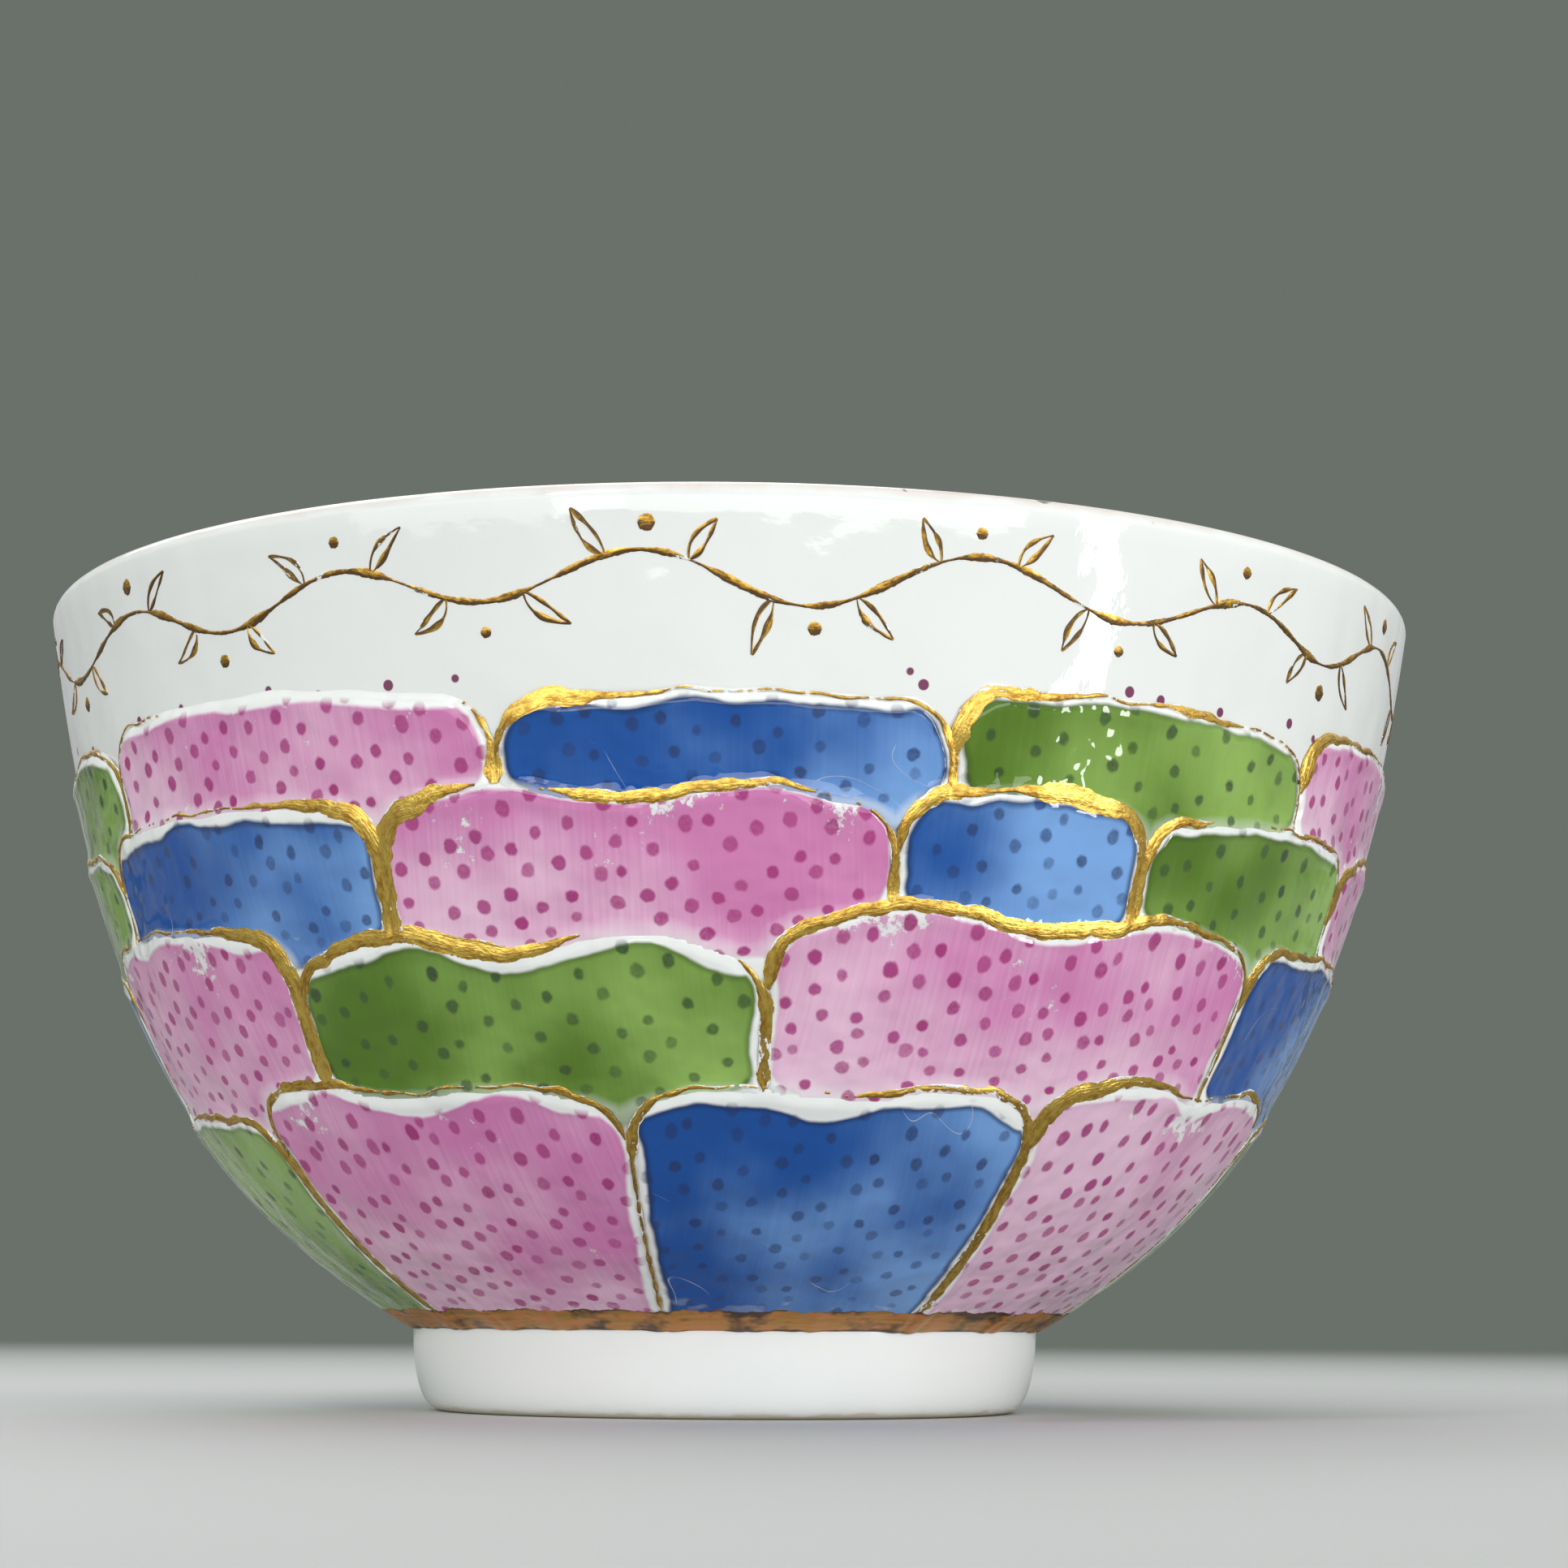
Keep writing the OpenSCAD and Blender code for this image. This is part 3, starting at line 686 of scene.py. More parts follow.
def worn_cover(tree, uv, field, brush, cover):
    """The cover of a wash that has flaked off under its upper edge, or that hairs have scratched."""
    places = add(tree, "ShaderNodeTexNoise", {"Vector": uv, "Scale": 1 / 5.0, "Detail": 1.0})
    if brush.flaked:
        chips = add(tree, "ShaderNodeTexNoise", {
            "Vector": uv, "Scale": 1 / 0.6, "Detail": 5.0, "Roughness": 0.65})
        weak = add(tree, "ShaderNodeMapRange", {
            "Value": field["rise"], "From Min": 0.6, "From Max": 0.95, "To Max": 0.27})
        for noise in (places, chips):
            weak = add(tree, "ShaderNodeMath", {
                0: noise.outputs["Fac"], 1: weak.outputs[0]}, operation="ADD")
        kept = add(tree, "ShaderNodeMapRange", {
            "Value": weak.outputs[0], "From Min": 1.34, "From Max": 1.41, "To Min": 1.0, "To Max": 0.15})
        cover = add(tree, "ShaderNodeMath", {0: cover.outputs[0], 1: kept.outputs[0]}, operation="MULTIPLY")
    if brush.scratched:
        hairs = add(tree, "ShaderNodeTexNoise", {
            "Vector": uv, "Scale": 1 / 9.0, "Detail": 1.0, "Distortion": 1.2})
        middle = add(tree, "ShaderNodeMath", {0: hairs.outputs["Fac"], 1: 0.5}, operation="SUBTRACT")
        middle = add(tree, "ShaderNodeMath", {0: middle.outputs[0]}, operation="ABSOLUTE")
        line = add(tree, "ShaderNodeMapRange", {
            "Value": middle.outputs[0], "From Min": 0.0022, "From Max": 0.0008, "To Max": 0.35})
        rare = add(tree, "ShaderNodeMapRange", {
            "Value": places.outputs["Fac"], "From Min": 0.55, "From Max": 0.6})
        hair = add(tree, "ShaderNodeMath", {0: line.outputs[0], 1: rare.outputs[0]}, operation="MULTIPLY")
        kept = add(tree, "ShaderNodeMath", {0: 1.0, 1: hair.outputs[0]}, operation="SUBTRACT")
        cover = add(tree, "ShaderNodeMath", {0: cover.outputs[0], 1: kept.outputs[0]}, operation="MULTIPLY")
    return cover


def stippled(tree, uv, field, brush, spacing, colour, dot_colour, deep):
    """Adds the stipple: dots in loose rows, each with its own size, strength and soft uneven edge."""
    turned = add(tree, "ShaderNodeMapping", {"Vector": uv, "Rotation": (0.0, 0.0, 0.45)})
    cells = add(tree, "ShaderNodeTexVoronoi", {
        "Vector": turned.outputs[0], "Scale": 1 / spacing, "Randomness": 0.5}, voronoi_dimensions="2D")
    pick = add(tree, "ShaderNodeSeparateColor", {"Color": cells.outputs["Color"]})
    size = add(tree, "ShaderNodeMapRange", {
        "Value": pick.outputs[0], "To Min": 0.8 * brush.dot / spacing, "To Max": 1.15 * brush.dot / spacing})
    jitter = add(tree, "ShaderNodeTexNoise", {"Vector": uv, "Scale": 1 / 0.5, "Detail": 2.0})
    wobble = add(tree, "ShaderNodeMapRange", {
        "Value": jitter.outputs["Fac"], "To Min": -0.08, "To Max": 0.08})
    ragged = add(tree, "ShaderNodeMath", {
        0: cells.outputs["Distance"], 1: wobble.outputs[0]}, operation="ADD")
    beyond = add(tree, "ShaderNodeMath", {0: ragged.outputs[0], 1: size.outputs[0]}, operation="SUBTRACT")
    dot = add(tree, "ShaderNodeMapRange", {
        "Value": beyond.outputs[0], "From Min": 0.05, "From Max": -0.05}, interpolation_type="SMOOTHSTEP")

    # How much paint each dot holds: more near the top, and uneven within
    load = add(tree, "ShaderNodeMapRange", {
        "Value": pick.outputs[1], "To Min": brush.faint - 0.15, "To Max": brush.faint + 0.2})
    watery = add(tree, "ShaderNodeTexNoise", {
        "Vector": uv, "Scale": 1 / 0.22, "Detail": 3.0, "Roughness": 0.6})
    for value, weight in ((field["rise"], 0.25), (watery.outputs["Fac"], 0.5)):
        load = add(tree, "ShaderNodeMath", {
            0: value, 1: weight, 2: load.outputs[0]}, operation="MULTIPLY_ADD")
    load = add(tree, "ShaderNodeClamp", {0: load.outputs[0], 1: 0.0, 2: 0.95})
    within = add(tree, "ShaderNodeMapRange", {
        "Value": field["edge_mm"], "From Min": -0.3, "From Max": 0.15})
    for factor in (load, within):
        dot = add(tree, "ShaderNodeMath", {0: dot.outputs[0], 1: factor.outputs[0]}, operation="MULTIPLY")
    thinned = add(tree, "ShaderNodeMapRange", {"Value": pick.outputs[2], "To Max": 0.3})
    dot_tone = add(tree, "ShaderNodeMix", {
        0: thinned.outputs[0], 6: rgba(dot_colour), 7: rgba(deep)}, data_type="RGBA")
    return add(tree, "ShaderNodeMix", {
        0: dot.outputs[0], 6: colour.outputs[2], 7: dot_tone.outputs[2]}, data_type="RGBA")


def enamel(name, colours, dot_share):
    """Fired overglaze enamel: a glossy brushed wash, thinner towards its foot, stippled with darker dots."""
    brush = WASHES[name]
    pale, deep, dot_colour = (getattr(colours, f"{name}_{part}") for part in ("pale", "deep", "dot"))
    material, tree, shader = new_material(f"{name}_enamel")
    uv = add(tree, "ShaderNodeUVMap", uv_map="enamel_mm").outputs["UV"]
    field = {
        key: add(tree, "ShaderNodeAttribute", attribute_name=key).outputs["Fac"]
        for key in ("edge_mm", "foot_mm", "rise", "side", "wash")}
    colour, cover = enamel_wash(tree, uv, field, brush, pale, deep)
    cover = worn_cover(tree, uv, field, brush, cover)
    colour = add(tree, "ShaderNodeMix", {
        0: cover.outputs[0], 6: rgba(colours.porcelain), 7: colour.outputs[2]}, data_type="RGBA")
    colour = stippled(tree, uv, field, brush, brush.spacing * dot_share, colour, dot_colour, deep)
    tree.links.new(colour.outputs[2], shader.inputs["Base Color"])

    # The glaze lies in waves, and the enamel stands on it as a thin layer
    wave = add(tree, "ShaderNodeTexNoise", {"Vector": uv, "Scale": 1 / 3.0, "Detail": 2.0})
    layer = add(tree, "ShaderNodeMath", {
        0: cover.outputs[0], 1: 0.08, 2: wave.outputs["Fac"]}, operation="MULTIPLY_ADD")
    bump = add(tree, "ShaderNodeBump", {"Height": layer.outputs[0], "Strength": 1.0, "Distance": 0.42 * MM})
    tree.links.new(bump.outputs[0], shader.inputs["Normal"])
    shader.inputs["Roughness"].default_value = 0.04
    shader.inputs["IOR"].default_value = 1.55
    return material


def gilding(name, colours):
    """Fired liquid gold laid with a brush: satin, streaked, brown where thin and flecked at its edges."""
    gold = GOLDS[name]
    material, tree, shader = new_material(name)
    uv = add(tree, "ShaderNodeUVMap", uv_map="gilt_mm").outputs["UV"]
    rim, side, load = (
        add(tree, "ShaderNodeAttribute", attribute_name=key).outputs["Fac"]
        for key in ("rim", "side", "load"))
    drawn = add(tree, "ShaderNodeMapping", {"Vector": uv, "Scale": (1 / 3.0, 1 / 0.12, 1.0)})
    streaks = add(tree, "ShaderNodeTexNoise", {"Vector": drawn.outputs[0], "Scale": 1.0, "Detail": 3.0})
    patches = add(tree, "ShaderNodeTexNoise", {
        "Vector": uv, "Scale": 1 / 1.8, "Detail": 5.0, "Roughness": 0.65})
    grained = add(tree, "ShaderNodeMapping", {"Vector": uv, "Scale": (1 / 0.6, 1 / 0.24, 1.0)})
    grit = add(tree, "ShaderNodeTexNoise", {
        "Vector": grained.outputs[0], "Scale": 1.0, "Detail": 3.0, "Roughness": 0.7})
    grain = add(tree, "ShaderNodeMapRange", {
        "Value": grit.outputs["Fac"], "From Min": 0.36, "From Max": 0.64})
    outer = add(tree, "ShaderNodeMath", {0: rim, 1: 4.0}, operation="POWER")

    # Its colour, from bright where the brush left much to brown where it left little, with painted shade
    # along one side of each stroke
    thin = add(tree, "ShaderNodeMath", {0: load, 1: -0.25, 2: gold.wear}, operation="MULTIPLY_ADD")
    shifts = (
        (patches.outputs["Fac"], 0.9), (streaks.outputs["Fac"], 0.4), (grain.outputs[0], 0.5),
        (outer.outputs[0], 0.12), (side, -gold.lean))
    for value, weight in shifts:
        thin = add(tree, "ShaderNodeMath", {
            0: value, 1: weight, 2: thin.outputs[0]}, operation="MULTIPLY_ADD")
    worn = add(tree, "ShaderNodeMapRange", {"Value": thin.outputs[0], "From Min": 0.5, "From Max": 1.0})
    dark = add(tree, "ShaderNodeMapRange", {
        "Value": thin.outputs[0], "From Min": 1.0, "From Max": 1.25, "To Max": 0.85})
    colour = add(tree, "ShaderNodeMix", {
        0: worn.outputs[0], 6: rgba(colours.gold), 7: rgba(colours.worn_gold)}, data_type="RGBA")
    colour = add(tree, "ShaderNodeMix", {
        0: dark.outputs[0], 6: colour.outputs[2], 7: rgba(colours.gilt_ground)}, data_type="RGBA")

    # Flecks, mostly along the edges, where it has come off the glaze
    weak = add(tree, "ShaderNodeTexNoise", {"Vector": uv, "Scale": 1 / 2.6, "Detail": 1.0})
    loose = grit
    for value, weight in ((load, -0.12), (weak.outputs["Fac"], 1.0), (outer.outputs[0], gold.flecked)):
        loose = add(tree, "ShaderNodeMath", {
            0: value, 1: weight, 2: loose.outputs[0]}, operation="MULTIPLY_ADD")
    gone = add(tree, "ShaderNodeMapRange", {"Value": loose.outputs[0], "From Min": 1.15, "From Max": 1.21})
    colour = add(tree, "ShaderNodeMix", {
        0: gone.outputs[0], 6: colour.outputs[2], 7: rgba(colours.porcelain)}, data_type="RGBA")
    tree.links.new(colour.outputs[2], shader.inputs["Base Color"])
    metal = add(tree, "ShaderNodeMapRange", {"Value": dark.outputs[0], "To Min": 1.0, "To Max": 0.3})
    rough = add(tree, "ShaderNodeMapRange", {"Value": worn.outputs[0], "To Min": 0.3, "To Max": 0.46})
    for key, value, bare in (("Metallic", metal, 0.0), ("Roughness", rough, 0.06)):
        blend = add(tree, "ShaderNodeMix", {0: gone.outputs[0], 2: value.outputs[0], 3: bare})
        tree.links.new(blend.outputs[0], shader.inputs[key])
    skin = streaks
    for value, weight in ((patches.outputs["Fac"], 1.6), (grain.outputs[0], 0.5)):
        skin = add(tree, "ShaderNodeMath", {
            0: value, 1: weight, 2: skin.outputs[0]}, operation="MULTIPLY_ADD")
    bump = add(tree, "ShaderNodeBump", {"Height": skin.outputs[0], "Strength": 1.0, "Distance": 0.035 * MM})
    tree.links.new(bump.outputs[0], shader.inputs["Normal"])
    return material


def rubbed_gold(colours):
    """Gold that handling has rubbed down to its orange-brown ground, with dark smudges here and there."""
    material, tree, shader = new_material("rubbed_gold")
    uv = add(tree, "ShaderNodeUVMap", uv_map="gilt_mm").outputs["UV"]
    rim = add(tree, "ShaderNodeAttribute", attribute_name="rim").outputs["Fac"]
    along = add(tree, "ShaderNodeMapping", {"Vector": uv, "Scale": (1 / 2.2, 1 / 0.35, 1.0)})
    strokes = add(tree, "ShaderNodeTexNoise", {"Vector": along.outputs[0], "Scale": 1.0, "Detail": 4.0})
    blots = add(tree, "ShaderNodeTexNoise", {
        "Vector": uv, "Scale": 1 / 5.0, "Detail": 4.0, "Roughness": 0.65})
    shine = add(tree, "ShaderNodeMapRange", {
        "Value": strokes.outputs["Fac"], "From Min": 0.45, "From Max": 0.58})
    colour = add(tree, "ShaderNodeMix", {
        0: shine.outputs[0], 6: rgba(colours.rubbed_gold), 7: rgba(colours.worn_gold)}, data_type="RGBA")
    outer = add(tree, "ShaderNodeMath", {0: rim, 1: 6.0}, operation="POWER")
    blot = add(tree, "ShaderNodeMath", {
        0: outer.outputs[0], 1: 0.12, 2: blots.outputs["Fac"]}, operation="MULTIPLY_ADD")
    dark = add(tree, "ShaderNodeMapRange", {
        "Value": blot.outputs[0], "From Min": 0.52, "From Max": 0.6, "To Max": 0.9})
    colour = add(tree, "ShaderNodeMix", {
        0: dark.outputs[0], 6: colour.outputs[2], 7: rgba(colours.gilt_ground)}, data_type="RGBA")
    tree.links.new(colour.outputs[2], shader.inputs["Base Color"])
    metal = add(tree, "ShaderNodeMapRange", {"Value": shine.outputs[0], "To Min": 0.15, "To Max": 0.7})
    tree.links.new(metal.outputs[0], shader.inputs["Metallic"])
    shader.inputs["Roughness"].default_value = 0.38
    bump = add(tree, "ShaderNodeBump", {
        "Height": strokes.outputs["Fac"], "Strength": 0.6, "Distance": 0.05 * MM})
    tree.links.new(bump.outputs[0], shader.inputs["Normal"])
    return material


def studio_floor(colours):
    """Matt painted board under the bowl, which runs out into the backdrop."""
    material, tree, shader = new_material("painted_board")
    spot = add(tree, "ShaderNodeTexCoord").outputs["Object"]
    grain = add(tree, "ShaderNodeTexNoise", {"Vector": spot, "Scale": 1 / (40 * MM), "Detail": 2.0})
    tint = add(tree, "ShaderNodeMix", {
        0: grain.outputs["Fac"], 6: rgba(colours.floor), 7: rgba(tuple(c * 0.96 for c in colours.floor))},
        data_type="RGBA")
    tree.links.new(tint.outputs[2], shader.inputs["Base Color"])
    shader.inputs["Roughness"].default_value = 0.7
    far = add(tree, "ShaderNodeVectorMath", {0: spot}, operation="LENGTH")
    fade = add(tree, "ShaderNodeMapRange", {
        "Value": far.outputs["Value"], "From Min": 0.05, "From Max": 0.42}, interpolation_type="SMOOTHSTEP")
    mirrored = add(tree, "ShaderNodeMath", {
        0: add(tree, "ShaderNodeLightPath").outputs["Is Glossy Ray"], 1: 0.5}, operation="MULTIPLY")
    fade = add(tree, "ShaderNodeMath", {0: fade.outputs[0], 1: mirrored.outputs[0]}, operation="MAXIMUM")
    backdrop = add(tree, "ShaderNodeEmission", {"Color": rgba(colours.backdrop), "Strength": 1.0})
    blend = add(tree, "ShaderNodeMixShader", {
        0: fade.outputs[0], 1: shader.outputs[0], 2: backdrop.outputs[0]})
    tree.links.new(blend.outputs[0], tree.nodes["Material Output"].inputs["Surface"])
    return material


def material_for(name, build, *arguments):
    """The named material, built the first time that it is asked for."""
    return bpy.data.materials.get(name) or build(*arguments)


class TEABOWL_OT_wall(bpy.types.Operator):
    """Turns the porcelain wall with its lip and floor"""

    bl_idname = "teabowl.wall"
    bl_label = "Bowl wall"

    def execute(self, context):
        sizes = context.scene.tea_bowl_sizes
        form = BowlForm(sizes)
        thick = sizes.wall_thickness / MM
        lip = form.lip
        shares = np.linspace(0, 1, WALL_ROWS)
        samples = np.linspace(0, 1, WALL_SAMPLES)
        outer, ways = (
            np.stack([np.interp(shares, samples, values[:, j]) for j in (0, 1)], axis=1)
            for values in (form.curve, form.way))
        inward = np.stack((-ways[:, 1], ways[:, 0]), axis=1)
        inner = outer + (thick + (2 * lip - thick) * shares)[:, None] * inward
        inner = [tuple(p) for p in inner[-2::-1] if p[0] > FLOOR_RADIUS]
        arc = [(form.rim_radius - lip + lip * math.cos(a), form.rim_height + lip * math.sin(a))
               for a in np.linspace(0.15, math.pi - 0.15, 14)]
        floor_z = form.foot_height + FLOOR_THICKNESS
        edge, before = inner[-1], inner[-2]
        power = (before[1] - edge[1]) / (before[0] - edge[0]) * edge[0] / (edge[1] - floor_z)
        floor = [(edge[0] * s, floor_z + (edge[1] - floor_z) * s ** power) for s in np.linspace(0.96, 0, 24)]
        profile = [(0.0, form.foot_height)] + [tuple(p) for p in outer] + arc + inner + floor
        mesh = spun_mesh("bowl_wall_glazed", profile, WALL_STEPS, form)
        material = material_for("clear_glazed_porcelain", porcelain, context.scene.tea_bowl_colours)
        make_piece("bowl_wall_glazed", mesh, material, ["bowl_wall"])
        return {"FINISHED"}


class TEABOWL_OT_foot(bpy.types.Operator):
    """Turns the foot ring with its rounded edges"""

    bl_idname = "teabowl.foot"
    bl_label = "Foot ring"

    def execute(self, context):
        sizes = context.scene.tea_bowl_sizes
        form = BowlForm(sizes)
        outer_r = form.foot_radius
        hole_r = outer_r - sizes.foot_ring_width / MM
        outside = [
            (outer_r - FOOT_TURN * (1 - math.cos(a) ** FOOT_FULLNESS), form.foot_height * (1 - math.sin(a)))
            for a in np.linspace(0, math.pi / 2, 32)[1:]]
        inside = [
            (hole_r + FOOT_EDGE + FOOT_EDGE * math.cos(a), FOOT_EDGE + FOOT_EDGE * math.sin(a))
            for a in np.linspace(-math.pi / 2, -math.pi, 8)]
        profile = [(hole_r, form.foot_height), (outer_r, form.foot_height)] + outside + inside
        mesh = spun_mesh("foot_ring_glazed", profile, FOOT_STEPS, form)
        material = material_for("wiped_lightened_porcelain", foot_porcelain, context.scene.tea_bowl_colours)
        make_piece("foot_ring_glazed", mesh, material, ["foot_ring"])
        return {"FINISHED"}


class TEABOWL_OT_scales(bpy.types.Operator):
    """Lays the four courses of enamelled scales on the wall"""

    bl_idname = "teabowl.scales"
    bl_label = "Enamelled scales"

    def execute(self, context):
        sizes = context.scene.tea_bowl_sizes
        form = BowlForm(sizes)
        for course in form.courses:
            for scale in course:
                mesh = self.scale_mesh(form, scale)
                material = material_for(
                    f"{scale.enamel}_enamel", enamel, scale.enamel, context.scene.tea_bowl_colours,
                    sizes.dot_share)
                make_piece(f"{scale.node}_glazed", mesh, material, [scale.node])
        return {"FINISHED"}

    def scale_mesh(self, form, scale):
        """One scale: its face follows the relief and dips under its neighbours, its back lies in the wall."""
        bm, flat = grid_positions(*SCALE_GRID)
        theta, z = self.spread(form, scale, flat)
        inside, below_top = form.inside(scale, theta, z)
        covered = form.covered(scale, theta, z)
        sink = SINK * (smooth_step(0, SINK_WIDTH, -inside) + smooth_step(0, SINK_WIDTH, covered))
        height = np.where(flat[:, 2] < -0.5, -BACK, form.height(theta, z) - sink)
        points = form.place(theta, z, height)
        offset, half = form.across(scale, theta, z)
        share = np.clip(offset / half, -1, 1)
        edge = self.field_edge(form, scale, z, share, inside, below_top)
        from_side, from_foot = LOW_CORNER - half + np.abs(offset), LOW_CORNER + covered
        rounded = (from_side > 0) & (from_foot > 0)
        edge = np.where(rounded, np.minimum(edge, LOW_CORNER - np.hypot(from_side, from_foot)), edge)
        rise = np.clip((z - scale.low) / (scale.top - scale.low), 0, 1)
        uv = self.unrolled(form, scale, theta, z)
        return laid_mesh(
            f"{scale.node}_glazed", bm, points, "enamel_mm", uv, edge_mm=edge, foot_mm=-covered, rise=rise,
            side=share, wash=np.full_like(z, scale.wash))

    def spread(self, form, scale, flat):
        """Angles and heights of the grid's points, spread over a scale and a little past its outline."""
        side = np.sign(flat[:, 0]) * (1 - (1 - np.abs(flat[:, 0])) ** SIDE_CROWDING)
        up = 1 - (1 - (flat[:, 1] + 1) / 2) ** TOP_CROWDING
        half = scale.half * form.radius(scale.top) - form.channel / 2 + SKIRT
        corner = form.corner + SKIRT
        past = np.maximum(np.abs(side) * half - (half - corner), 0)
        drop = corner - np.sqrt(np.maximum(corner ** 2 - past ** 2, 0))
        high = form.top_edge(scale, side) + SKIRT - drop
        bottom = scale.low - UNDERLAP
        z = bottom + up * (high - bottom)
        r = form.radius(z)
        return scale.middle + side * (scale.half * r - form.channel / 2 + SKIRT) / r, z

    def field_edge(self, form, scale, z, share, inside, below_top):
        """How far points lie inside the painted field, with its white margin above."""
        notch = form.between_lobes(scale, share) ** 4
        margin = scale.margin * (1 + 0.7 * ripple(share, 1.3, scale.seed + 0.4) + notch)
        edge = np.minimum(inside + 0.1 - min(scale.margin, 0.15), below_top - margin)
        if scale.course + 1 < len(form.courses):
            edge = np.minimum(edge, z - COURSES[scale.course + 1][2] + NOTCH)
        return edge

    def unrolled(self, form, scale, theta, z):
        """The scale rolled out flat, in mm, with its own place in the pattern."""
        r = form.radius(z)
        run = float(form.slope((scale.low + scale.top) / 2)[0])
        turn = (theta - scale.middle) * run
        uv = np.stack((r / run * np.sin(turn), -r / run * np.cos(turn)), axis=1)
        stretch = BASE_STIPPLE if scale.course + 1 == len(form.courses) else (1, 1)
        return uv * stretch + PATTERN_STEP * scale.seed


def joined_ends(mesh):
    """The mesh of a stroke that runs all the way round, with its open ends made one."""
    bm = bmesh.new()
    bm.from_mesh(mesh)
    bmesh.ops.remove_doubles(bm, verts=bm.verts, dist=WELD * MM)
    bm.to_mesh(mesh)
    bm.free()
    return mesh


def stroke_mesh(form, theta, z, left, right, load, seed, absent=None, rows=6, ring=False):
    """A brush stroke along a path on the relief, as a closed skin of gold with a domed face."""
    columns = len(theta) - 1
    bm, flat = grid_positions(columns, rows, absent)
    step_across = np.gradient(theta) * form.radius(z)
    step_up = np.gradient(z) / form.slope(z)[1]
    if ring:
        ends = [face for face in bm.faces if abs(face.calc_center_median().x) > 1 - 0.5 / columns]
        bmesh.ops.delete(bm, geom=ends, context="FACES")
        for step in (step_across, step_up):
            step[[0, -1]] = (step[0] + step[-1]) / 2
    length = np.hypot(step_across, step_up)
    along = np.cumsum(length)
    place = (flat[:, 0] + 1) / 2 * columns
    stations = np.arange(columns + 1)

    def at(values):
        return np.interp(place, stations, values)

    offset = np.where(flat[:, 1] > 0, at(left), at(right)) * flat[:, 1]
    path_z = at(z)
    stroke_theta = at(theta) - at(step_up / length) * offset / form.radius(path_z)
    stroke_z = path_z + at(step_across / length) * offset * form.slope(path_z)[1]
    rim = np.abs(flat[:, 1])
    lift = np.where(flat[:, 2] < -0.5, -GILT_ROOT, GILT_LIFT * (1 - GILT_DOME * rim ** 2))
    points = form.place(stroke_theta, stroke_z, form.height(stroke_theta, stroke_z) + lift)
    uv = np.stack((at(along), offset), axis=1) + STROKE_STEP * seed
    mesh = laid_mesh("stroke", bm, points, "gilt_mm", uv, rim=rim, side=flat[:, 1], load=at(load))
    return joined_ends(mesh) if ring else mesh


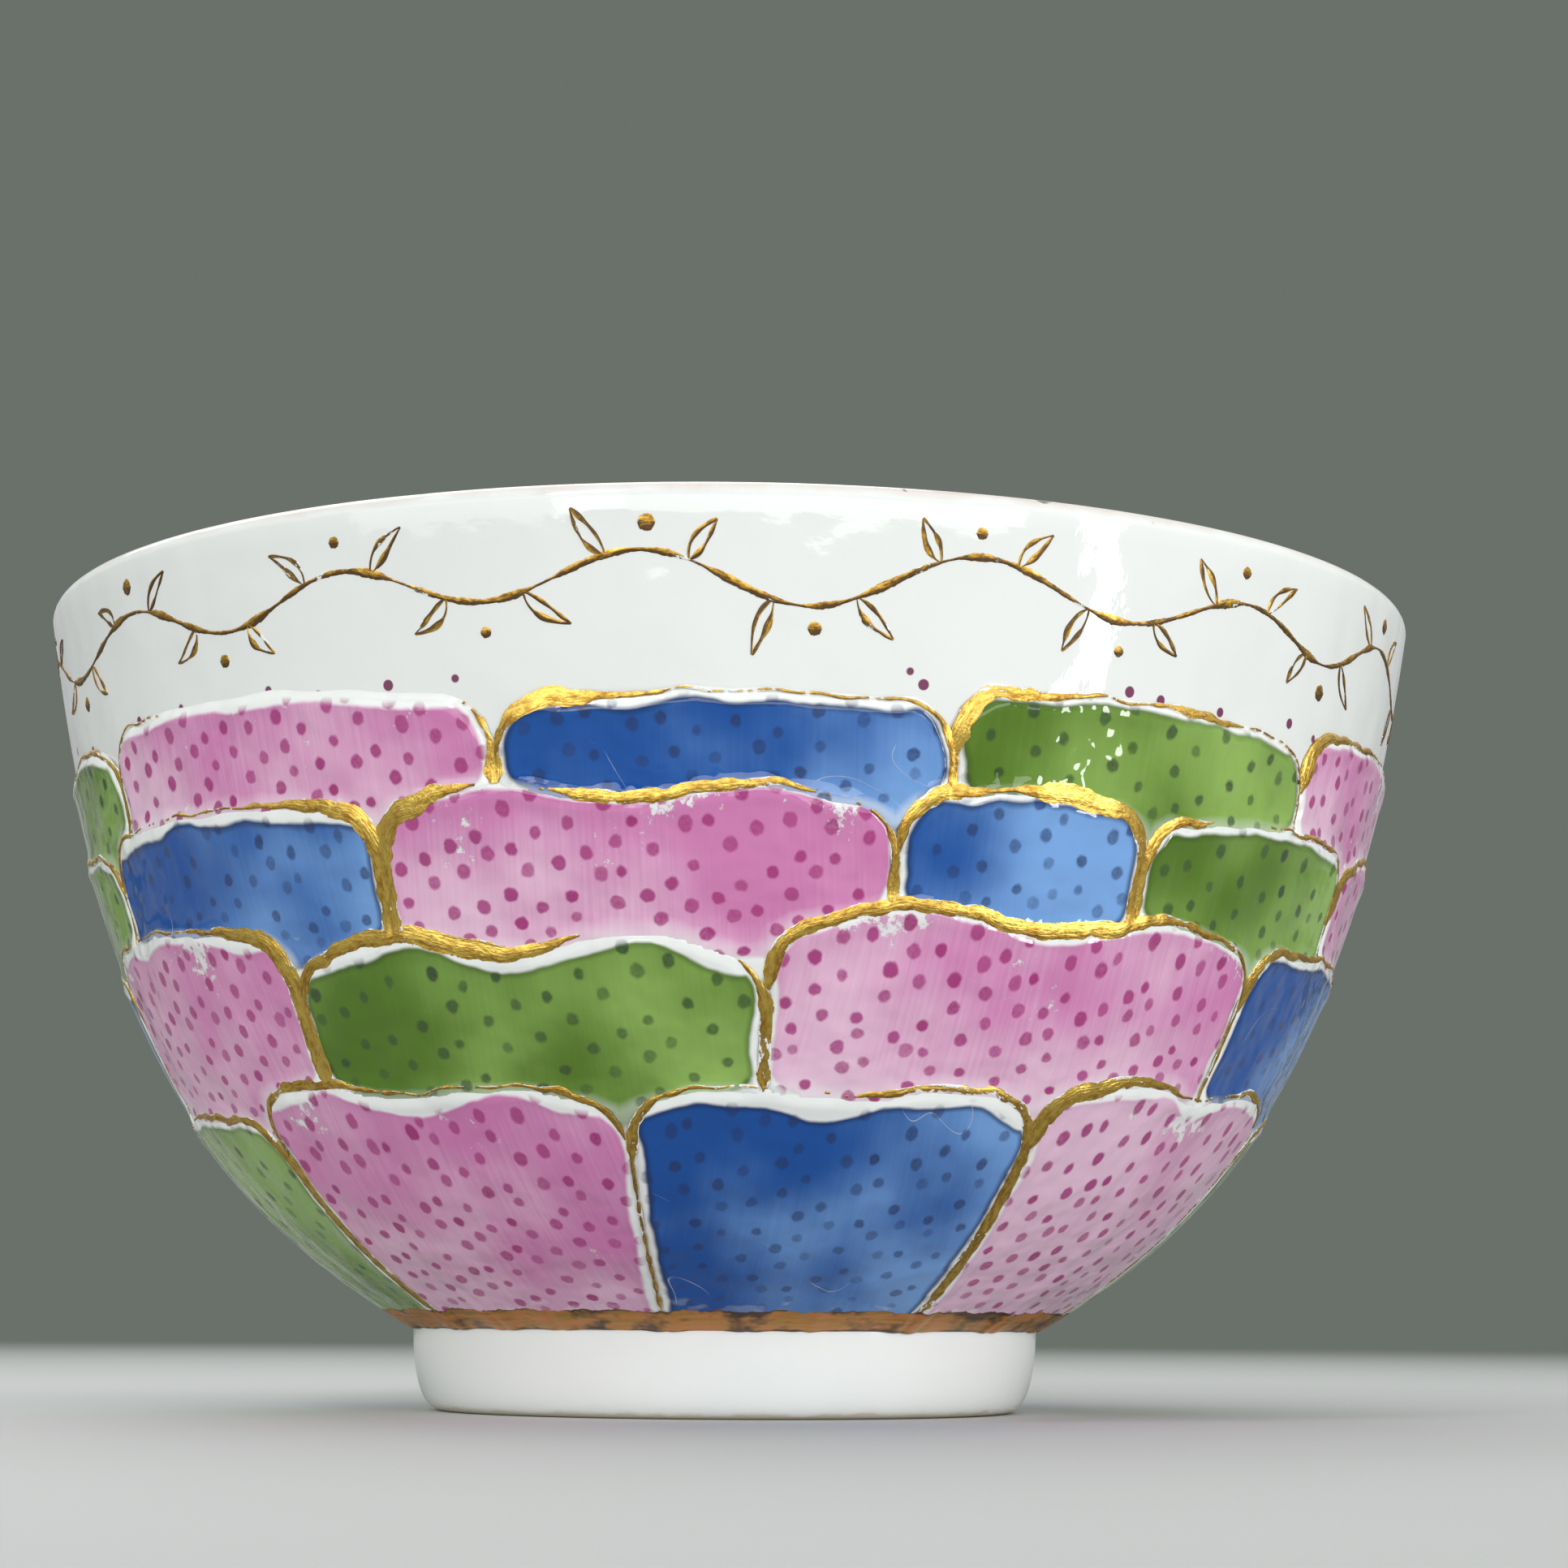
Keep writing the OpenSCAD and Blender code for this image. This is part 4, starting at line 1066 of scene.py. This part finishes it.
class TEABOWL_OT_gilt_lines(bpy.types.Operator):
    """Draws the gilt outlines along the upper edges and channels of the scales"""

    bl_idname = "teabowl.gilt_lines"
    bl_label = "Gilt outlines"

    def execute(self, context):
        sizes = context.scene.tea_bowl_sizes
        form = BowlForm(sizes)
        material = material_for("fired_gold", gilding, "fired_gold", context.scene.tea_bowl_colours)
        for k, course in enumerate(form.courses):
            strokes = [self.outline_stroke(form, scale, sizes.gilt_width / MM) for scale in course]
            name = COURSES[k][1]
            mesh = joined_mesh(f"{name}_strokes", strokes)
            make_piece(f"{name}_strokes", mesh, material, [name])
        return {"FINISHED"}

    def outline_path(self, form, scale):
        """A stroke's angles, heights and lengths so far, and the lengths at the ends of its corners."""
        half = scale.half * form.radius(scale.top) - form.channel / 2
        corner = form.corner
        turn = np.linspace(0.15, math.pi / 2, 24)
        bend = (corner + GILT_OUT) * np.sin(turn) - corner
        left_x = -(half - corner) - (corner + GILT_OUT) * np.cos(turn)
        left_z = form.top_edge(scale, -np.ones_like(turn)) + bend
        lead_z = left_z[0] - np.linspace(LEAD_IN, 0, 10)[:-1]
        lead_x = np.linspace(-half - form.channel / 2, left_x[0], 10)[:-1]
        share = np.linspace(-1 + corner / half, 1 - corner / half, 90)[1:-1]
        top_z = form.top_edge(scale, share) + GILT_OUT
        right_z = form.top_edge(scale, np.ones_like(turn)) + bend[::-1]
        down_z = np.linspace(right_z[-1], scale.low, 60)[1:]
        down_x = np.full_like(down_z, half + form.channel / 2)
        x = np.concatenate((lead_x, left_x, share * half, -left_x[::-1], down_x))
        z = np.concatenate((lead_z, left_z, top_z, right_z, down_z))
        theta = scale.middle + x / form.radius(scale.top)
        steps = np.hypot(np.diff(theta) * form.radius(z[1:]), np.diff(z) / form.slope(z[1:])[1])
        length = np.concatenate(([0], np.cumsum(steps)))
        ends = np.cumsum((len(lead_x) + len(left_x), len(top_z), len(right_z)))
        corner_lengths = length[ends]
        covered = form.covered(scale, theta, z) >= -GILT_CLEAR
        past = np.nonzero(covered & (length > corner_lengths[0]))[0]
        last = past[0] if len(past) else len(length)
        return theta[:last], z[:last], length[:last], corner_lengths

    def outline_stroke(self, form, scale, width):
        """The stroke over one scale's upper edge and down the channel at its right."""
        theta, z, length, (left_end, right_start, right_end) = self.outline_path(form, scale)
        even = np.linspace(0, length[-1], int(length[-1] / GILT_STEP))
        theta, z = np.interp(even, length, theta), np.interp(even, length, z)
        smooth = np.ones(9) / 9
        theta[4:-4] = np.convolve(theta, smooth, "valid")
        z[4:-4] = np.convolve(z, smooth, "valid")
        z = z + 0.07 * ripple(even, 5.5, scale.seed + 0.3)
        along_top = left_end + (right_start - left_end) * np.array((0.2, 0.4, 0.6, 0.8))
        stations = (0.0, left_end, *along_top, right_start, right_end, max(length[-1], right_end + 0.1))
        load = np.interp(even, stations, scale.load)
        soft = np.ones(13) / 13
        load = np.convolve(np.pad(load, 6, mode="edge"), soft, "valid") + 0.1 * ripple(even, 3.1, scale.seed)
        taper = smooth_step(0, 1.0, even) * smooth_step(0, 0.5, length[-1] - even)
        half_width = width / 2 * np.clip(load, 0.15, 1.5) * (0.35 + 0.65 * taper)
        edges = [half_width * (
            1 + 0.08 * ripple(even, 1.9, scale.seed + n) + 0.03 * ripple(even, 0.4, 1.7 * scale.seed + n))
            for n in (0.1, 0.6)]
        hold = load + 0.1 * ripple(even, 1.3, scale.seed + 0.9)

        def absent(spot):
            station = min(len(hold) - 1, int((spot.x + 1) / 2 * len(hold)))
            flake = ripple(even[station], 1.1, scale.seed + 1.3) * ripple(spot.y, 1.9, scale.seed + 0.2)
            return hold[station] < 0.05 or flake > 0.3 + 1.2 * hold[station]

        return stroke_mesh(form, theta, z, *edges, load, scale.seed, absent, rows=8)


class TEABOWL_OT_foot_line(bpy.types.Operator):
    """Draws the gilt line round the top of the foot"""

    bl_idname = "teabowl.foot_line"
    bl_label = "Gilt foot line"

    def execute(self, context):
        form = BowlForm(context.scene.tea_bowl_sizes)
        theta = np.linspace(math.pi, 3 * math.pi, 900)
        middle = (form.foot_height + form.foot_line_z) / 2
        half = (form.foot_line_z - form.foot_height) / 2 / form.slope(middle)[1]
        z = np.full_like(theta, middle)
        around = theta * form.foot_radius
        left = half * (1 + 0.1 * ripple(around, 4.1, 1) + 0.06 * ripple(around, 0.9, 2))
        right = np.full_like(theta, half)
        left[-1] = left[0]
        material = material_for("rubbed_gold", rubbed_gold, context.scene.tea_bowl_colours)
        mesh = stroke_mesh(form, theta, z, left, right, np.ones_like(theta), 3, ring=True)
        make_piece("gilding_foot_line_stroke", mesh, material, ["gilding_foot_line"])
        return {"FINISHED"}


class TEABOWL_OT_rim_vine(bpy.types.Operator):
    """Draws the gilt vine on the white rim"""

    bl_idname = "teabowl.rim_vine"
    bl_label = "Gilt rim vine"

    def execute(self, context):
        sizes = context.scene.tea_bowl_sizes
        form = BowlForm(sizes)
        waves = sizes.vine_waves
        wave = 2 * math.pi / waves
        theta = np.linspace(math.pi, 3 * math.pi, 1800)
        z = self.stem_z(theta, waves)
        load = 0.7 + 0.45 * ripple(theta, 2 * math.pi / 37, 4.2)
        half_width = STEM / 2 * np.clip(load, 0.3, 1.2)
        sides = [half_width * (1 + 0.14 * ripple(theta, 2 * math.pi / 330, n)) for n in (1, 2)]
        for values in (z, load, *sides):
            values[-1] = values[0]
        strokes = [stroke_mesh(form, theta, z, *sides, load, 50, ring=True)]
        for n in range(waves):
            for s in (-1, 1):
                for side in (-1, 1):
                    at_theta = n * wave - s * wave / 4 + side * LEAF_SPREAD * wave / 4
                    angle = s * (math.pi / 2 - side * LEAF_TILT)
                    seed = 60 + len(strokes)
                    strokes += self.leaf(form, at_theta, float(self.stem_z(at_theta, waves)), angle, seed)
                berry_z = VINE_Z + s * (VINE_SWING + BERRY + STEM)
                strokes.append(self.berry(form, n * wave - s * wave / 4, berry_z, 60 + len(strokes)))
        material = material_for("pen_gold", gilding, "pen_gold", context.scene.tea_bowl_colours)
        mesh = joined_mesh("gilding_rim_vine_strokes", strokes)
        make_piece("gilding_rim_vine_strokes", mesh, material, ["gilding_rim_vine"])
        return {"FINISHED"}

    def stem_z(self, theta, waves):
        """Height of the stem, drawn by hand."""
        swing = VINE_SWING * (1 + 0.16 * np.sin(4 * theta + 1.1) + 0.1 * np.sin(7 * theta + 0.3))
        return VINE_Z - swing * np.sin(waves * theta + 0.22 * np.sin(5 * theta + 2.0))

    def leaf(self, form, theta, z, angle, seed):
        """A pointed leaf drawn as two strokes of the pen that meet at its tip."""
        share = np.linspace(0.02, 0.98, 26)
        bend = 0.5 * math.sin(1.9 * seed)
        length = LEAF_LENGTH * (1 + 0.12 * math.sin(2.3 * seed))
        way = angle + 0.14 * math.sin(2.7 * seed) + bend * (share - 0.3)
        strokes = []
        for side in (-1, 1):
            bow = side * (LEAF_WIDTH / 2 - LEAF_LINE / 2) * np.sin(math.pi * share ** 0.8)
            x = share * length * np.cos(way) - bow * np.sin(angle)
            y = share * length * np.sin(way) + bow * np.cos(angle)
            load = 0.7 + 0.45 * ripple(share, 1.3, seed + side)
            width = LEAF_LINE / 2 * np.clip(load, 0.4, 1.3) * (0.3 + 0.9 * np.sin(math.pi * share) ** 0.7)
            strokes.append(stroke_mesh(
                form, theta + x / form.radius(z), z + y, width, width, load, seed + 0.5 * side, rows=4))
        return strokes

    def berry(self, form, theta, z, seed):
        """A small dab of gold."""
        share = np.linspace(-0.99, 0.99, 14)
        size = BERRY / 2 * (0.72 + 0.2 * math.sin(2.9 * seed))
        width = size * np.sqrt(1 - share ** 2) * (1 + 0.12 * ripple(share, 1.1, seed))
        x = theta + size * share / form.radius(z)
        return stroke_mesh(form, x, np.full_like(x, z), width, width, np.ones_like(x), seed, rows=4)


class TEABOWL_OT_stage(bpy.types.Operator):
    """Sets the floor, the backdrop, the lights and the camera"""

    bl_idname = "teabowl.stage"
    bl_label = "Stage"

    def execute(self, context):
        scene = context.scene
        colours = scene.tea_bowl_colours
        bm = bmesh.new()
        bmesh.ops.create_grid(bm, x_segments=4, y_segments=4, size=FLOOR_HALF)
        mesh = bpy.data.meshes.new("floor")
        bm.to_mesh(mesh)
        bm.free()
        mesh.materials.append(studio_floor(colours))
        floor = bpy.data.objects.new("floor", mesh)
        scene.collection.objects.link(floor)
        self.light_world(scene, colours)
        holders = {name: self.area_light(name, *lamp) for name, lamp in LAMPS.items()}
        self.keep_off(holders["strip"], floor)
        self.set_camera(scene)
        scene.view_settings.view_transform = "Standard"
        return {"FINISHED"}

    def light_world(self, scene, colours):
        """Even light, a sky that darkens towards the horizon in reflections, and the backdrop in view."""
        world = bpy.data.worlds.new("studio")
        world.use_nodes = True
        tree = world.node_tree
        tree.nodes.clear()
        sky_colour = rgba(linear(SKY_COLOUR))
        sky = add(tree, "ShaderNodeBackground", {"Color": sky_colour, "Strength": 0.5})
        seen = add(tree, "ShaderNodeBackground", {"Color": rgba(colours.backdrop), "Strength": 1.0})
        path = add(tree, "ShaderNodeLightPath")
        way = add(tree, "ShaderNodeTexCoord").outputs["Object"]
        upward = add(tree, "ShaderNodeSeparateXYZ", {"Vector": way}).outputs["Z"]
        above = add(tree, "ShaderNodeMapRange", {
            "Value": upward, "From Min": 0.05, "From Max": 0.6, "To Min": 0.3, "To Max": 1.2})
        mirrored = add(tree, "ShaderNodeBackground", {"Color": sky_colour, "Strength": above.outputs[0]})
        lit = add(tree, "ShaderNodeMixShader", {
            0: path.outputs["Is Glossy Ray"], 1: sky.outputs[0], 2: mirrored.outputs[0]})
        mix = add(tree, "ShaderNodeMixShader", {
            0: path.outputs["Is Camera Ray"], 1: lit.outputs[0], 2: seen.outputs[0]})
        add(tree, "ShaderNodeOutputWorld", {"Surface": mix.outputs[0]})
        scene.world = world

    def area_light(self, name, place, size, power):
        """A soft box turned towards the bowl."""
        lamp = bpy.data.lights.new(name, "AREA")
        lamp.shape = "RECTANGLE"
        lamp.size, lamp.size_y = size
        lamp.energy = power
        holder = bpy.data.objects.new(name, lamp)
        holder.location = place
        way = LAMP_AIM - Vector(place)
        holder.rotation_euler = way.to_track_quat("-Z", "Y").to_euler()
        holder.visible_camera = False
        bpy.context.scene.collection.objects.link(holder)
        return holder

    def keep_off(self, holder, unlit):
        """Leaves one object out of a lamp's light."""
        left_out = bpy.data.collections.new(f"{holder.name}_left_out")
        left_out.objects.link(unlit)
        left_out.collection_objects[0].light_linking.link_state = "EXCLUDE"
        holder.light_linking.receiver_collection = left_out

    def set_camera(self, scene):
        """The viewpoint of the photograph: close, just over the table, looking a little up."""
        forward = Vector((
            math.sin(CAMERA_YAW) * math.cos(CAMERA_PITCH), math.cos(CAMERA_YAW) * math.cos(CAMERA_PITCH),
            math.sin(CAMERA_PITCH)))
        level = forward.cross(Vector((0, 0, 1))).normalized()
        rise = level.cross(forward)
        right = math.cos(CAMERA_ROLL) * level + math.sin(CAMERA_ROLL) * rise
        up = math.cos(CAMERA_ROLL) * rise - math.sin(CAMERA_ROLL) * level
        data = bpy.data.cameras.new("camera")
        data.sensor_width = CAMERA_FILM
        data.lens = CAMERA_LENS
        data.clip_start = CAMERA_NEAR
        camera = bpy.data.objects.new("camera", data)
        turned = Matrix((right, up, -forward)).transposed().to_4x4()
        camera.matrix_world = Matrix.Translation(CAMERA_PLACE) @ turned
        scene.collection.objects.link(camera)
        scene.camera = camera


class TEABOWL_PT_panel(bpy.types.Panel):
    """Lists the steps that build the bowl, its sizes and its colours"""

    bl_idname = "TEABOWL_PT_panel"
    bl_label = "Tea bowl"
    bl_space_type = "VIEW_3D"
    bl_region_type = "UI"
    bl_category = "Tea bowl"

    def draw(self, context):
        for operator in OPERATORS:
            self.layout.operator(operator.bl_idname)
        for group in (context.scene.tea_bowl_sizes, context.scene.tea_bowl_colours):
            box = self.layout.box()
            for key in group.__annotations__:
                box.prop(group, key)


OPERATORS = (
    TEABOWL_OT_wall, TEABOWL_OT_foot, TEABOWL_OT_scales, TEABOWL_OT_gilt_lines, TEABOWL_OT_foot_line,
    TEABOWL_OT_rim_vine, TEABOWL_OT_stage)
CLASSES = (TeaBowlSizes, TeaBowlColours, *OPERATORS, TEABOWL_PT_panel)


def register():
    for cls in CLASSES:
        bpy.utils.register_class(cls)
    bpy.types.Scene.tea_bowl_sizes = PointerProperty(type=TeaBowlSizes)
    bpy.types.Scene.tea_bowl_colours = PointerProperty(type=TeaBowlColours)


def unregister():
    del bpy.types.Scene.tea_bowl_colours
    del bpy.types.Scene.tea_bowl_sizes
    for cls in reversed(CLASSES):
        bpy.utils.unregister_class(cls)


def main():
    register()
    bpy.ops.teabowl.wall()
    bpy.ops.teabowl.foot()
    bpy.ops.teabowl.scales()
    bpy.ops.teabowl.gilt_lines()
    bpy.ops.teabowl.foot_line()
    bpy.ops.teabowl.rim_vine()
    bpy.ops.teabowl.stage()


if __name__ == "__main__":
    main()
